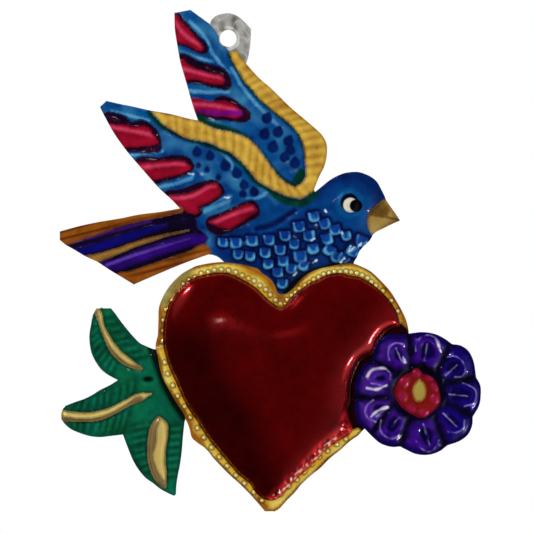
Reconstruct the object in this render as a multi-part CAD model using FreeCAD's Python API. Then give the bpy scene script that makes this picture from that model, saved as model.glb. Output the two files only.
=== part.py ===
import FreeCAD, Part

import math
import os

from FreeCAD import Vector

# A pressed and lacquered tin ornament: a bird perched on a domed heart, with a flower at the right
# side of the heart, a sprig of three leaves at its left side, and a small bare tongue with a hole
# to hang it by.
#
# Every figure is a sheet of its own, cut to its outline and pressed from behind, so each raised
# form on the front is a hollow on the back. The sheets lie in layers: the hanging tab at the back,
# then the bird and the sprig, then the heart, then the flower and its centre. Dabs of solder hold
# each sheet to the next.
#
# Frame: +Z up, +X to the right as seen from the front, and the front faces -Y. The origin is the
# centre of the hanging hole, on the back face of the tab. Lengths are millimetres.

# The sheets
SHEET_THICKNESS = 0.3
BIRD_LENGTH = 88.4
BIRD_HEIGHT = 75.3
HEART_WIDTH = 66.0
HEART_HEIGHT = 65.0
FLOWER_WIDTH = 32.8
FLOWER_HEIGHT = 32.2
CENTRE_WIDTH = 12.1
CENTRE_HEIGHT = 13.1
SPRIG_WIDTH = 34.1
SPRIG_HEIGHT = 49.0
TAB_WIDTH = 10.9
TAB_HEIGHT = 16.3

# The hanging hole, and the straight snips that take the edge of the wing clear of a hook
HOLE_RADIUS = 2.2
HOOK_CLEARANCE = 0.1
SNIP_SIDES = 8

# Raised forms: widths where they meet the sheet, and heights over its front face
HEART_DOME_HEIGHT = 6.0
FLOWER_SEAT_MARGIN = 0.6
FLOWER_SEAT_SLOPE = 2.0
RIM_BEAD_RADIUS = 0.5
RIM_BEAD_PITCH = 2.4
RIM_BEAD_OFFSET = 0.9
BODY_DOME_HEIGHT = 1.5
EYE_WIDTH = 4.2
EYE_HEIGHT = 0.5
SCALE_WIDTH = 2.4
SCALE_HEIGHT = 0.45
FEATHER_HEIGHT = 0.7
TAIL_RIDGE_HEIGHT = 0.6
BEAK_RIDGE_WIDTH = 3.0
BEAK_RIDGE_HEIGHT = 0.7
WING_FLUTE_WIDTH = 1.3
WING_FLUTE_HEIGHT = 0.3
WING_FLUTE_PITCH = 1.9
PETAL_WIDTH = 6.6
PETAL_LENGTH = 7.8
PETAL_HEIGHT = 1.4
PETAL_DISH_RADIUS = 3.0
PETAL_DISH_FLOOR = 0.55
CENTRE_BEAD_WIDTH = 2.5
CENTRE_BEAD_HEIGHT = 0.7
SEED_WIDTH = 3.0
SEED_TIP_WIDTH = 1.6
SEED_HEIGHT = 0.6
MIDRIB_HEIGHT = 0.8
VEIN_WIDTH = 1.2
VEIN_HEIGHT = 0.3
VEIN_PITCH = 2.4

# Solder: the radii of a dab at its foot and at its flat top, and how far it stands over the sheet
# behind. The tab is what lies on the wall, so its own dabs stop flush with it.
SOLDER_RADIUS = 1.6
SOLDER_TOP_RADIUS = 0.9
SOLDER_HEIGHT = 0.3
TAB_SOLDER_HEIGHT = 0

# One overrun serves every cut and trim
OVERRUN = 10.0

# The tables below hold pixels of the photograph, in its 533 x 533 frame, x right and y down. An
# outline is a start point and then its steps: a step of one point runs straight to it, and a step
# of two points is an arc through the first to the second.
HOLE_PX = (228.2, 38.4)

TAB_PX = [
    (212, 76),
    ((209, 40),),
    ((212, 18), (226, 13.3)),
    ((240.5, 18), (251, 29)),
    ((250.5, 42),),
    ((246, 64),),
    ((243, 76),),
]

BIRD_PX = [
    (100, 106.5),
    ((106, 101.4),),
    ((110, 101.2),),
    ((150, 110),),
    ((175, 114), (198, 120.5)),
    ((191.5, 99),),
    ((179, 57), (177.2, 40)),
    ((175.2, 27), (174.6, 14)),
    ((176, 12.3),),
    ((192, 10),),
    ((210, 23.7),),
    ((229.5, 52.5),),
    ((236, 50.5),),
    ((240.5, 52),),
    ((246, 64),),
    ((270, 88.3),),
    ((310, 125.3),),
    ((323, 137), (327, 150)),
    ((325.5, 161.5), (320.5, 174)),
    ((315, 190),),
    ((315.5, 192.5),),
    ((333, 178), (356, 172)),
    ((373.5, 178.5), (383, 194)),
    ((400, 220.3),),
    ((375, 233.5),),
    ((366, 245.5),),
    ((359.5, 250.5),),
    ((354, 262.5),),
    ((353.5, 268.5),),
    ((326, 269.5), (303, 282)),
    ((282, 299.6),),
    ((262, 282.5), (238, 270)),
    ((226, 267.5),),
    ((224, 262),),
    ((218.5, 256), (209.7, 254)),
    ((170, 269.5),),
    ((134.5, 285),),
    ((100, 265),),
    ((70, 247.5),),
    ((60.8, 240),),
    ((60, 231.3),),
    ((118, 219), (181.5, 209)),
    ((143, 170.5), (121, 143.5)),
    ((109.5, 126.5), (101.2, 110)),
]

HEART_PX = [
    (281, 293),
    ((291, 284), (302, 275)),
    ((326, 263.8), (353, 263)),
    ((379, 277.8), (398, 305)),
    ((405, 319), (409, 333)),
    ((400, 385), (361, 432)),
    ((322, 466), (280, 507.5)),
    ((275, 511.5),),
    ((265, 512),),
    ((260, 508),),
    ((230, 475),),
    ((206, 449.5),),
    ((192, 438),),
    ((189.5, 429),),
    ((185, 421.5),),
    ((170, 396.5), (160, 371)),
    ((158, 360), (155, 351)),
    ((156, 343),),
    ((158.3, 331),),
    ((158.5, 316), (161, 304)),
    ((170, 285.5),),
    ((180, 277),),
    ((188, 270.5), (197, 266)),
    ((220, 262), (243, 264.5)),
    ((257, 269),),
    ((269, 279), (275, 287)),
]

HEART_DOME_PX = [
    (281, 306),
    ((291, 300), (302, 290)),
    ((316, 281), (331, 276)),
    ((352, 276), (370, 283)),
    ((388, 299.5), (398, 318)),
    ((390, 379), (345, 436)),
    ((316, 459.5), (283, 493)),
    ((276, 499), (267, 496.5)),
    ((240, 474), (219, 452)),
    ((190, 407.5), (170, 368)),
    ((163, 335), (171, 303)),
    ((190, 280), (222, 274)),
    ((248, 282), (268, 299.5)),
    ((275, 304), (281, 306)),
]
HEART_DOME_MIDDLE_PX = (276, 372)

FLOWER_PX = [
    (409, 334),
    ((431, 332.3), (452, 344.3)),
    ((469, 351.5), (476.7, 378.5)),
    ((481, 396), (472, 418)),
    ((466.5, 437), (447, 446)),
    ((424, 455.5), (399.7, 446.2)),
    ((379, 443.5), (364.5, 428)),
    ((355, 413), (358, 397)),
    ((355.5, 377), (369.5, 361.5)),
    ((379.5, 342), (409, 334)),
]
FLOWER_MIDDLE_PX = (418, 392)
PETAL_ENDS_PX = [
    (426, 338), (462, 356), (473, 390), (463, 427), (430, 447),
    (388, 440), (363, 414), (364, 374), (390, 343),
]

CENTRE_PX = [
    (411, 372.3),
    ((416.5, 367.8), (423, 374)),
    ((436, 380), (440.4, 401)),
    ((425, 418.2),),
    ((417.5, 418.3),),
    ((398, 404), (394, 391)),
    ((398, 378.5), (411, 372.3)),
]
CENTRE_BEADS_PX = [
    (405, 381), (401, 394), (407, 406), (419, 412), (431, 406), (435, 392), (429, 380), (417, 374),
]
SEED_PX = [(418.5, 386), (418, 395)]

SPRIG_PX = [
    (96, 308),
    ((111, 307.5),),
    ((126, 328.5), (140, 343.3)),
    ((153, 348.7),),
    ((160.5, 350),),
    ((168.5, 382), (187, 414.5)),
    ((185, 422),),
    ((182.3, 446), (180, 470)),
    ((177.3, 483), (176, 495)),
    ((174, 496),),
    ((141, 473.5), (123.3, 435)),
    ((121, 434),),
    ((97, 436.8), (78, 433)),
    ((68, 427.5), (61.3, 419)),
    ((62, 411), (66, 405.5)),
    ((82, 399), (96, 392.3)),
    ((106, 386), (118.5, 379.8)),
    ((100, 367.5), (91, 352)),
    ((89.5, 329), (96, 308)),
]

# Tapered bars: the two ends of the spine, and the breadth at each, all in pixels
FEATHERS_PX = [
    ((178, 22), (197, 43), 10, 12),
    ((179, 67), (217, 78), 12, 12),
    ((183, 105), (235, 112), 13, 12),
    ((112, 133), (149, 137), 17, 16),
    ((138, 171), (184, 166), 12, 14),
    ((174, 203), (214, 190), 15, 14),
    ((218, 224), (250, 210), 13, 12),
]
TAIL_RIDGES_PX = [
    ((52, 236), (176, 214), 8, 7),
    ((76, 249), (182, 224), 12, 9),
    ((104, 262), (196, 236), 12, 10),
    ((118, 276), (202, 250), 14, 10),
]
MIDRIBS_PX = [
    ((98.5, 315), (113, 348), 3.5, 8.5),
    ((115, 350), (136, 366), 8, 3.5),
    ((68, 415), (96, 414), 9.5, 9),
    ((99, 413.5), (121, 404), 8.5, 7.5),
    ((124, 402), (147, 394), 7, 3.5),
    ((161, 421), (158, 438), 6, 14),
    ((158.5, 441), (160, 459), 13, 12),
    ((160.5, 462), (163, 482), 11, 4),
]

# The swelling of the body and the head: its edge, and the line it is highest along
BODY_EDGE_PX = [
    (207, 245), (218, 235.5), (236, 232), (258, 228), (272, 223.5), (290, 213.5), (306, 203),
    (317, 196), (325, 187), (338, 179), (353, 176), (368, 181), (377, 190), (377, 202), (369, 212),
    (367, 226), (366, 239), (358, 250), (350, 259), (338, 260.3), (326, 261.5), (314, 266),
    (302, 272.3), (291, 281.3), (282, 288), (275, 283), (266, 273.5), (257, 266.3), (243, 262),
    (228, 259.5), (215, 252.5),
]
BODY_SPINE_PX = [(262, 249), (300, 243), (326, 229), (348, 207)]
BEAK_RIDGE_PX = [(376, 215), (392, 219)]
EYE_PX = (352, 205)
SCALES_PX = [
    (314, 217), (325, 224), (335, 230), (346, 236),
    (299, 227), (309, 236), (327, 240), (361, 241),
    (223, 242), (236, 243), (252, 241), (269, 240), (285, 237), (294, 244),
    (238, 254), (249, 257), (265, 253), (280, 250), (313, 250), (329, 250), (353, 250),
    (268, 264), (282, 260), (299, 257), (336, 256),
    (277.5, 272), (291, 269),
    (282.5, 283),
]

# The gilt edges of the two wings: the outer side and the inner side that each flute runs between
WING_BANDS_PX = [
    (
        [(241, 57), (258, 79), (282, 102), (306, 124), (322, 140), (324, 155), (315, 175), (309, 187)],
        [(236, 64), (248, 83), (268, 106), (289, 123), (302, 140), (305, 163), (303, 178), (298, 186)],
    ),
    (
        [(158, 113), (198, 124), (225, 133), (248, 141), (262, 156), (280, 177), (294, 188)],
        [(164, 124), (188, 137), (212, 142), (236, 155), (249, 169), (267, 186), (290, 196)],
    ),
]

# Veins of the three leaves: the line they spring from, and for each side the near and the far end
# as steps from that line
LEAF_VEINS_PX = [
    ([(102, 322), (112, 345), (126, 360)], [((-7, 3), (-16, 3)), ((8, -4), (9, -14))]),
    ([(80, 416), (104, 412), (140, 398)], [((-1, 8), (-4, 15)), ((-1, -7), (-5, -12))]),
    ([(159, 424), (157, 450), (162, 476)], [((-11, 2), (-18, -3)), ((10, 2), (15, -4))]),
]

# Solder sits on a cut edge, where one sheet ends on the back of the sheet in front of it
TAB_DABS_PX = [(240, 74), (227, 76), (211, 58)]
BIRD_DABS_PX = [(337, 268.5), (300, 283.5), (262, 282.5), (240, 270.8)]
SPRIG_DABS_PX = [(162.5, 362), (170, 386), (180, 404.5)]
FLOWER_DABS_PX = [(404, 372), (398, 390)]

# The profile of a dome: shares of its outline, and the shares of its height there
DOME_PROFILE_SHARES = [
    (1.0, 0.0), (0.965, 0.32), (0.9, 0.56), (0.78, 0.79), (0.6, 0.93), (0.35, 0.99), (0.12, 1.0),
]
HALF_SHARE = 0.5
FULL_TURN = 360
FORWARD = Vector(0, -1, 0)


class Tracing:
    """Carries pixels of one piece to millimetres by that piece's own real width and height."""

    def __init__(self, outline, width, height, anchor_px, anchor):
        points = [outline[0]] + [point for step in outline[1:] for point in step]
        across = [point[0] for point in points]
        down = [point[1] for point in points]
        self.mm_per_px_x = width / (max(across) - min(across))
        self.mm_per_px_z = height / (max(down) - min(down))
        self.anchor_px = anchor_px
        self.anchor = anchor

    def at(self, point, y=0):
        """The place of a pixel, in the plane at y."""
        x = self.anchor.x + (point[0] - self.anchor_px[0]) * self.mm_per_px_x
        z = self.anchor.z - (point[1] - self.anchor_px[1]) * self.mm_per_px_z
        return Vector(x, y, z)

    def breadth(self, pixels):
        """The real size of a stretch of pixels that may lie either way."""
        return pixels * math.sqrt(self.mm_per_px_x * self.mm_per_px_z)


def outline_wire(outline, tracing, y):
    """The closed wire of an outline, in the plane at y."""
    edges = []
    start = tracing.at(outline[0], y)
    here = start
    for step in outline[1:]:
        there = tracing.at(step[-1], y)
        if len(step) == 1:
            edges.append(Part.LineSegment(here, there).toShape())
        else:
            edges.append(Part.Arc(here, tracing.at(step[0], y), there).toShape())
        here = there
    if outline[-1][-1] != outline[0]:
        edges.append(Part.LineSegment(here, start).toShape())
    return Part.Wire(edges)


def prism(outline, tracing, back, depth):
    """The outline as a solid that starts in the plane at back and runs forwards by depth."""
    face = Part.Face(outline_wire(outline, tracing, back))
    return face.extrude(FORWARD * depth)


def between(a, b, share):
    """The pixel that lies a share of the way from a to b."""
    return (a[0] + (b[0] - a[0]) * share, a[1] + (b[1] - a[1]) * share)


def nearest_on(line, place):
    """The place on a line of straight runs that is nearest to another place."""
    feet = []
    for a, b in zip(line, line[1:]):
        run = b - a
        share = min(1, max(0, (place - a).dot(run) / run.dot(run)))
        feet.append(a + run * share)
    return min(feet, key=lambda foot: (place - foot).Length)


def flat_distance(a, b):
    """The distance between two places as the front view shows it."""
    return math.hypot(a.x - b.x, a.z - b.z)


def spaced(points, tracing, pitch):
    """Even places along straight runs between points, about a pitch apart. Each is the number of
    its run and the share of that run."""
    places = [tracing.at(point) for point in points]
    runs = [(b - a).Length for a, b in zip(places, places[1:])]
    count = round(sum(runs) / pitch)
    found = []
    for number in range(count):
        travel = (number + HALF_SHARE) * sum(runs) / count
        run = 0
        while travel > runs[run]:
            travel -= runs[run]
            run += 1
        found.append((run, travel / runs[run]))
    return found


def tapered_bar(a, b, radius_a, radius_b):
    """A round bar with ball ends, of radius_a at a and radius_b at b."""
    spine = b - a
    length = spine.Length
    if length <= abs(radius_a - radius_b):
        return Part.makeSphere(max(radius_a, radius_b), a)
    along = spine / length
    aside = along.cross(FORWARD).normalize()
    lean = math.acos((radius_a - radius_b) / length)

    def on_ball(centre, radius, angle):
        return centre + along * (radius * math.cos(angle)) + aside * (radius * math.sin(angle))

    tail = on_ball(a, radius_a, math.pi)
    tangent_a = on_ball(a, radius_a, lean)
    tangent_b = on_ball(b, radius_b, lean)
    nose = on_ball(b, radius_b, 0)
    profile = Part.Wire([
        Part.Arc(tail, on_ball(a, radius_a, (math.pi + lean) / 2), tangent_a).toShape(),
        Part.LineSegment(tangent_a, tangent_b).toShape(),
        Part.Arc(tangent_b, on_ball(b, radius_b, lean / 2), nose).toShape(),
        Part.LineSegment(nose, tail).toShape(),
    ])
    return Part.Face(profile).revolve(a, along, FULL_TURN)


def cap_radius(width, height):
    """The radius of the ball whose cap is this wide and this high."""
    half = width / 2
    return (half * half + height * height) / (2 * height)


class Sheet:
    """A sheet of tin with raised forms pressed into it from behind. Each form has an outside, which
    the front shows, and an inside one sheet thickness within it, which hollows the back. A dish is
    pressed back into the forms, and its lining keeps the hollow behind one sheet away from it."""

    def __init__(self, outline, tracing, back):
        self.outline = outline
        self.tracing = tracing
        self.back = back
        self.front = back - SHEET_THICKNESS
        self.outsides = []
        self.insides = []
        self.dishes = []
        self.dish_linings = []

    def press_bar(self, end_a, end_b, width_a, width_b, height, lift=0):
        """A long form between two pixels, with its width at each and its height over the front
        face, or over a form that is itself lifted from that face."""
        radius_a = cap_radius(width_a, height)
        radius_b = cap_radius(width_b, height)
        a = self.tracing.at(end_a, self.front - lift + radius_a - height)
        b = self.tracing.at(end_b, self.front - lift + radius_b - height)
        self.outsides.append(tapered_bar(a, b, radius_a, radius_b))
        if min(radius_a, radius_b) > SHEET_THICKNESS:
            hollow = tapered_bar(a, b, radius_a - SHEET_THICKNESS, radius_b - SHEET_THICKNESS)
            self.insides.append(hollow)

    def press_dimple(self, place, width, height, lift=0):
        """A round form at a pixel."""
        self.press_bar(place, place, width, width, height, lift)

    def press_tapered(self, table, height):
        """Every bar of a table, each with its two breadths in pixels."""
        for end_a, end_b, breadth_a, breadth_b in table:
            width_a = self.tracing.breadth(breadth_a)
            width_b = self.tracing.breadth(breadth_b)
            self.press_bar(end_a, end_b, width_a, width_b, height)

    def press_dish(self, end_a, end_b, radius, floor):
        """A dish pressed back into the raised forms between two pixels, by a round tool of that
        radius, as far as the floor over the front face."""
        a = self.tracing.at(end_a, self.front - floor - radius)
        b = self.tracing.at(end_b, self.front - floor - radius)
        self.dishes.append(tapered_bar(a, b, radius, radius))
        wide = radius + SHEET_THICKNESS
        self.dish_linings.append(tapered_bar(a, b, wide, wide))

    def made(self):
        """The sheet: its plate and its forms, dished, hollowed and cut to the outline."""
        plate = prism(self.outline, self.tracing, self.back, SHEET_THICKNESS)
        room = prism(self.outline, self.tracing, self.back, OVERRUN)
        forms = self.outsides
        hollows = self.insides
        if self.dishes:
            forms = [form.cut(self.dishes) for form in forms]
            hollows = [hollow.cut(self.dish_linings) for hollow in hollows]
        shape = plate.fuse([form.common(room) for form in forms])
        return shape.cut(hollows)


# Places that one piece gives to the next, from the hanging hole outwards
HOLE = Vector(0, 0, 0)
NOTCH_PX = HEART_PX[0]
SPRIG_JOIN_PX = (164, 371)

tab_tracing = Tracing(TAB_PX, TAB_WIDTH, TAB_HEIGHT, HOLE_PX, HOLE)
bird_tracing = Tracing(BIRD_PX, BIRD_LENGTH, BIRD_HEIGHT, HOLE_PX, HOLE)
NOTCH = bird_tracing.at(NOTCH_PX)
heart_tracing = Tracing(HEART_PX, HEART_WIDTH, HEART_HEIGHT, NOTCH_PX, NOTCH)
SPRIG_JOIN = heart_tracing.at(SPRIG_JOIN_PX)
sprig_tracing = Tracing(SPRIG_PX, SPRIG_WIDTH, SPRIG_HEIGHT, SPRIG_JOIN_PX, SPRIG_JOIN)
FLOWER_MIDDLE = heart_tracing.at(FLOWER_MIDDLE_PX)
flower_tracing = Tracing(FLOWER_PX, FLOWER_WIDTH, FLOWER_HEIGHT, FLOWER_MIDDLE_PX, FLOWER_MIDDLE)
centre_tracing = Tracing(CENTRE_PX, CENTRE_WIDTH, CENTRE_HEIGHT, FLOWER_MIDDLE_PX, FLOWER_MIDDLE)

# The back face of each layer. A front face is one sheet thickness forward of it.
TAB_BACK = 0
BIRD_BACK = TAB_BACK - SHEET_THICKNESS
SPRIG_BACK = BIRD_BACK
HEART_BACK = BIRD_BACK - SHEET_THICKNESS
FLOWER_BACK = HEART_BACK - SHEET_THICKNESS
CENTRE_BACK = FLOWER_BACK - SHEET_THICKNESS


def hanging_tab():
    """The bare tongue, with its punched hole."""
    tongue = prism(TAB_PX, tab_tracing, TAB_BACK, SHEET_THICKNESS)
    low = HOLE - FORWARD * OVERRUN * HALF_SHARE
    return tongue.cut(Part.makeCylinder(HOLE_RADIUS, OVERRUN, low, FORWARD))


def hook_snips():
    """What the snips take off the edge of the wing, in straight cuts round the hanging hole."""
    step = 2 * math.pi / SNIP_SIDES
    reach = (HOLE_RADIUS + HOOK_CLEARANCE) / math.cos(step / 2)
    low = HOLE - FORWARD * OVERRUN * HALF_SHARE
    corners = []
    for number in range(SNIP_SIDES + 1):
        angle = step * (number + HALF_SHARE)
        corners.append(low + Vector(reach * math.cos(angle), 0, reach * math.sin(angle)))
    return Part.Face(Part.makePolygon(corners)).extrude(FORWARD * OVERRUN)


def body_dome(inset):
    """The swelling of the body and the head, smaller by inset on every side."""
    level = BIRD_BACK - SHEET_THICKNESS + inset
    spine = [bird_tracing.at(point, level) for point in BODY_SPINE_PX]
    edges = [bird_tracing.at(point, level) for point in BODY_EDGE_PX]
    rings = []
    for outline_share, height_share in DOME_PROFILE_SHARES:
        lift = FORWARD * BODY_DOME_HEIGHT * height_share
        places = []
        for edge in edges:
            inner = nearest_on(spine, edge)
            reach = edge - inner
            places.append(inner + reach * outline_share * (1 - inset / reach.Length) + lift)
        curve = Part.BSplineCurve()
        curve.interpolate(Points=places, PeriodicFlag=True)
        rings.append(Part.Wire([curve.toShape()]))
    return Part.makeLoft(rings, True, False)


def body_lift(place):
    """How far the swelling of the body stands over its sheet at a pixel."""
    here = bird_tracing.at(place)
    spine = [bird_tracing.at(point) for point in BODY_SPINE_PX]
    edges = [bird_tracing.at(point) for point in BODY_EDGE_PX]
    from_spine = (here - nearest_on(spine, here)).Length
    from_edge = (here - nearest_on(edges + edges[:1], here)).Length
    share = from_spine / (from_spine + from_edge)
    profile = DOME_PROFILE_SHARES
    for (outer, low), (inner, high) in zip(profile, profile[1:]):
        if share >= inner:
            return BODY_DOME_HEIGHT * (low + (high - low) * (outer - share) / (outer - inner))
    return BODY_DOME_HEIGHT


def bird():
    """One sheet: tail, body, head and both wings."""
    sheet = Sheet(BIRD_PX, bird_tracing, BIRD_BACK)
    sheet.outsides.append(body_dome(0))
    sheet.insides.append(body_dome(SHEET_THICKNESS))
    sheet.press_bar(*BEAK_RIDGE_PX, BEAK_RIDGE_WIDTH, BEAK_RIDGE_WIDTH, BEAK_RIDGE_HEIGHT)
    sheet.press_dimple(EYE_PX, EYE_WIDTH, EYE_HEIGHT, body_lift(EYE_PX))
    for place in SCALES_PX:
        sheet.press_dimple(place, SCALE_WIDTH, SCALE_HEIGHT, body_lift(place))
    sheet.press_tapered(FEATHERS_PX, FEATHER_HEIGHT)
    sheet.press_tapered(TAIL_RIDGES_PX, TAIL_RIDGE_HEIGHT)
    for outer_side, inner_side in WING_BANDS_PX:
        for run, share in spaced(outer_side, bird_tracing, WING_FLUTE_PITCH):
            end_a = between(outer_side[run], outer_side[run + 1], share)
            end_b = between(inner_side[run], inner_side[run + 1], share)
            sheet.press_bar(end_a, end_b, WING_FLUTE_WIDTH, WING_FLUTE_WIDTH, WING_FLUTE_HEIGHT)
    return sheet.made().cut(hook_snips())


def heart_dome(inset):
    """The domed middle of the heart, smaller by inset on every side."""
    front = HEART_BACK - SHEET_THICKNESS
    middle = heart_tracing.at(HEART_DOME_MIDDLE_PX, front + inset)
    rim = outline_wire(HEART_DOME_PX, heart_tracing, middle.y)
    shrink = 1 - 2 * inset / rim.BoundBox.XLength
    rings = []
    for outline_share, height_share in DOME_PROFILE_SHARES:
        ring = rim.copy()
        ring.scale(outline_share * shrink, middle)
        ring.translate(FORWARD * HEART_DOME_HEIGHT * height_share)
        rings.append(ring)
    return Part.makeLoft(rings, True, False)


def flower_seat(room):
    """The cone that the dome is cut back by, so that the flower lies flat: wider by room on every
    side."""
    half_flower = max(FLOWER_WIDTH, FLOWER_HEIGHT) / 2
    radius = half_flower + FLOWER_SEAT_MARGIN + room
    low = FLOWER_MIDDLE + FORWARD * (SHEET_THICKNESS - HEART_BACK - room)
    height = HEART_DOME_HEIGHT + SHEET_THICKNESS
    return Part.makeCone(radius, radius + FLOWER_SEAT_SLOPE, height, low, FORWARD)


def heart():
    """The flat rim, the dome cut back for the flower, and the beads round the dome."""
    sheet = Sheet(HEART_PX, heart_tracing, HEART_BACK)
    sheet.outsides.append(heart_dome(0).cut(flower_seat(0)))
    sheet.insides.append(heart_dome(SHEET_THICKNESS).cut(flower_seat(SHEET_THICKNESS)))
    foot = outline_wire(HEART_DOME_PX, heart_tracing, sheet.front)
    middle = heart_tracing.at(HEART_DOME_MIDDLE_PX, sheet.front)
    flower_reach = max(FLOWER_WIDTH, FLOWER_HEIGHT) / 2 + FLOWER_SEAT_MARGIN + RIM_BEAD_RADIUS
    count = round(foot.Length / RIM_BEAD_PITCH)
    for place in foot.discretize(Number=count + 1)[:-1]:
        centre = place + (place - middle).normalize() * RIM_BEAD_OFFSET
        if flat_distance(centre, FLOWER_MIDDLE) < flower_reach:
            continue
        sheet.outsides.append(Part.makeSphere(RIM_BEAD_RADIUS, centre))
        if RIM_BEAD_RADIUS > SHEET_THICKNESS:
            sheet.insides.append(Part.makeSphere(RIM_BEAD_RADIUS - SHEET_THICKNESS, centre))
    return sheet.made()


def flower():
    """The round of nine dished petals."""
    sheet = Sheet(FLOWER_PX, flower_tracing, FLOWER_BACK)
    for petal_end in PETAL_ENDS_PX:
        reach = (flower_tracing.at(petal_end) - FLOWER_MIDDLE).Length
        tip = between(petal_end, FLOWER_MIDDLE_PX, PETAL_WIDTH / 2 / reach)
        root = between(petal_end, FLOWER_MIDDLE_PX, (PETAL_LENGTH - PETAL_WIDTH / 2) / reach)
        sheet.press_bar(root, tip, PETAL_WIDTH, PETAL_WIDTH, PETAL_HEIGHT)
        sheet.press_dish(root, tip, PETAL_DISH_RADIUS, PETAL_DISH_FLOOR)
    return sheet.made()


def flower_centre():
    """The beaded disc with a seed in its middle."""
    sheet = Sheet(CENTRE_PX, centre_tracing, CENTRE_BACK)
    for place in CENTRE_BEADS_PX:
        sheet.press_dimple(place, CENTRE_BEAD_WIDTH, CENTRE_BEAD_HEIGHT)
    sheet.press_bar(*SEED_PX, SEED_TIP_WIDTH, SEED_WIDTH, SEED_HEIGHT)
    return sheet.made()


def leaf_sprig():
    """Three leaves on one sheet, each with a raised midrib and its veins."""
    sheet = Sheet(SPRIG_PX, sprig_tracing, SPRIG_BACK)
    sheet.press_tapered(MIDRIBS_PX, MIDRIB_HEIGHT)
    for line, sides in LEAF_VEINS_PX:
        for run, share in spaced(line, sprig_tracing, VEIN_PITCH):
            root = between(line[run], line[run + 1], share)
            for near, far in sides:
                end_a = (root[0] + near[0], root[1] + near[1])
                end_b = (root[0] + far[0], root[1] + far[1])
                sheet.press_bar(end_a, end_b, VEIN_WIDTH, VEIN_WIDTH, VEIN_HEIGHT)
    return sheet.made()


def solder_dabs(places, tracing, low, high, edge_sheet, proud=SOLDER_HEIGHT):
    """Low dabs on the back face at low, each over the cut edge of the sheet whose back face is at
    high, and proud of that face."""
    height = high - low + proud
    dabs = []
    for place in places:
        foot = tracing.at(place, low)
        dab = Part.makeCone(SOLDER_RADIUS, SOLDER_TOP_RADIUS, height, foot, -FORWARD)
        dabs += dab.cut(edge_sheet).Solids
    return dabs


def save(name, solids):
    """Writes one node, as its solid or its group of solids."""
    shape = solids[0] if len(solids) == 1 else Part.makeCompound(solids)
    shape.exportStep("parts/" + name + ".step")
    valid = all(solid.isValid() for solid in solids)
    volume = sum(solid.Volume for solid in solids)
    print(name, "solids:", len(solids), "valid:", valid, "cubic mm:", round(volume, 2))


os.makedirs("parts", exist_ok=True)

tab_sheet = hanging_tab()
bird_sheet = bird()
heart_sheet = heart()
sprig_sheet = leaf_sprig()

save("hanging_tab", tab_sheet.Solids)
save("bird", bird_sheet.Solids)
save("heart", heart_sheet.Solids)
save("leaf_sprig", sprig_sheet.Solids)
save("flower", flower().Solids)
save("flower_centre", flower_centre().Solids)
tab_dabs = solder_dabs(TAB_DABS_PX, tab_tracing, BIRD_BACK, TAB_BACK, tab_sheet, TAB_SOLDER_HEIGHT)
bird_dabs = solder_dabs(BIRD_DABS_PX, bird_tracing, HEART_BACK, BIRD_BACK, bird_sheet)
sprig_dabs = solder_dabs(SPRIG_DABS_PX, sprig_tracing, HEART_BACK, SPRIG_BACK, sprig_sheet)
flower_dabs = solder_dabs(FLOWER_DABS_PX, heart_tracing, FLOWER_BACK, HEART_BACK, heart_sheet)
save("tab_solder", tab_dabs)
save("bird_solder", bird_dabs)
save("sprig_solder", sprig_dabs)
save("flower_solder", flower_dabs)
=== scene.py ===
# %% [markdown]
# # A pressed and lacquered tin ornament
#
# The real thing is thin tinplate, cut with snips, pressed from behind with blunt tools on a soft
# pad, and brushed with clear dyed lacquers: a blue bird on a red heart, a violet flower, a green
# sprig and a bare tab to hang it by. The CAD solids are already in place in metres. Each is
# replaced here by a sheet with the fine relief and the colours of the real one.

import math

import bpy
import numpy as np
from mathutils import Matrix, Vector
from mathutils.geometry import delaunay_2d_cdt


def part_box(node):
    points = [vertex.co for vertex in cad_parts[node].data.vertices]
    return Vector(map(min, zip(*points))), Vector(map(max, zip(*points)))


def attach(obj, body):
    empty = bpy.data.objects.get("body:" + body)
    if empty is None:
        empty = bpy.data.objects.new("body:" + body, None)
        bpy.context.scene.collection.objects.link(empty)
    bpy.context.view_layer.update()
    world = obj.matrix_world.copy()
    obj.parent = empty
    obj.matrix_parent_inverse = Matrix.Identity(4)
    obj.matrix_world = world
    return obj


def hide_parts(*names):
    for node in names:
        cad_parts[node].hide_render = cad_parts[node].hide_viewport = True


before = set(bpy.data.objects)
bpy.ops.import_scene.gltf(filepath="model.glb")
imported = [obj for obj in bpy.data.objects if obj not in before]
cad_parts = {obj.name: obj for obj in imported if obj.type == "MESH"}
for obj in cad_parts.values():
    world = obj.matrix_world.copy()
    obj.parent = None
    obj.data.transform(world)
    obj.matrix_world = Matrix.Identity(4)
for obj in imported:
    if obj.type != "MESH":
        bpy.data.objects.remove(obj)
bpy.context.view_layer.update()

# %% [markdown]
# ## Scale
#
# The photograph shows the ornament front on, so the lines of every figure are drawn over its
# 533 x 533 frame, x to the right and y down. A table is a text of points, each written x,y. A star
# marks a corner, and the other points lie on a flowing line. One pixel is 0.26 mm, as in the solids,
# and the centre of the hanging hole is the origin.

# %% From the drawing to metres
MM = 0.001
PIXEL = 0.26 * MM
PHOTO_SIZE = 533
HOLE = np.array([228.2, 38.4])
TIN = 0.3 * MM


def metres(points):
    """Points of the drawing as x and z in metres."""
    return (np.asarray(points, float) - HOLE) * [PIXEL, -PIXEL]


def trace(text):
    """A table from its text: each word is a row of numbers, and a star at its end marks a corner."""
    rows = []
    for word in text.split():
        numbers = [float(number) for number in word.rstrip("*").split(",")]
        rows.append((*numbers, True) if word.endswith("*") else tuple(numbers))
    return rows


def traces(text):
    """Several tables, parted by bars in the text."""
    return [trace(part) for part in text.split("|")]


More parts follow.
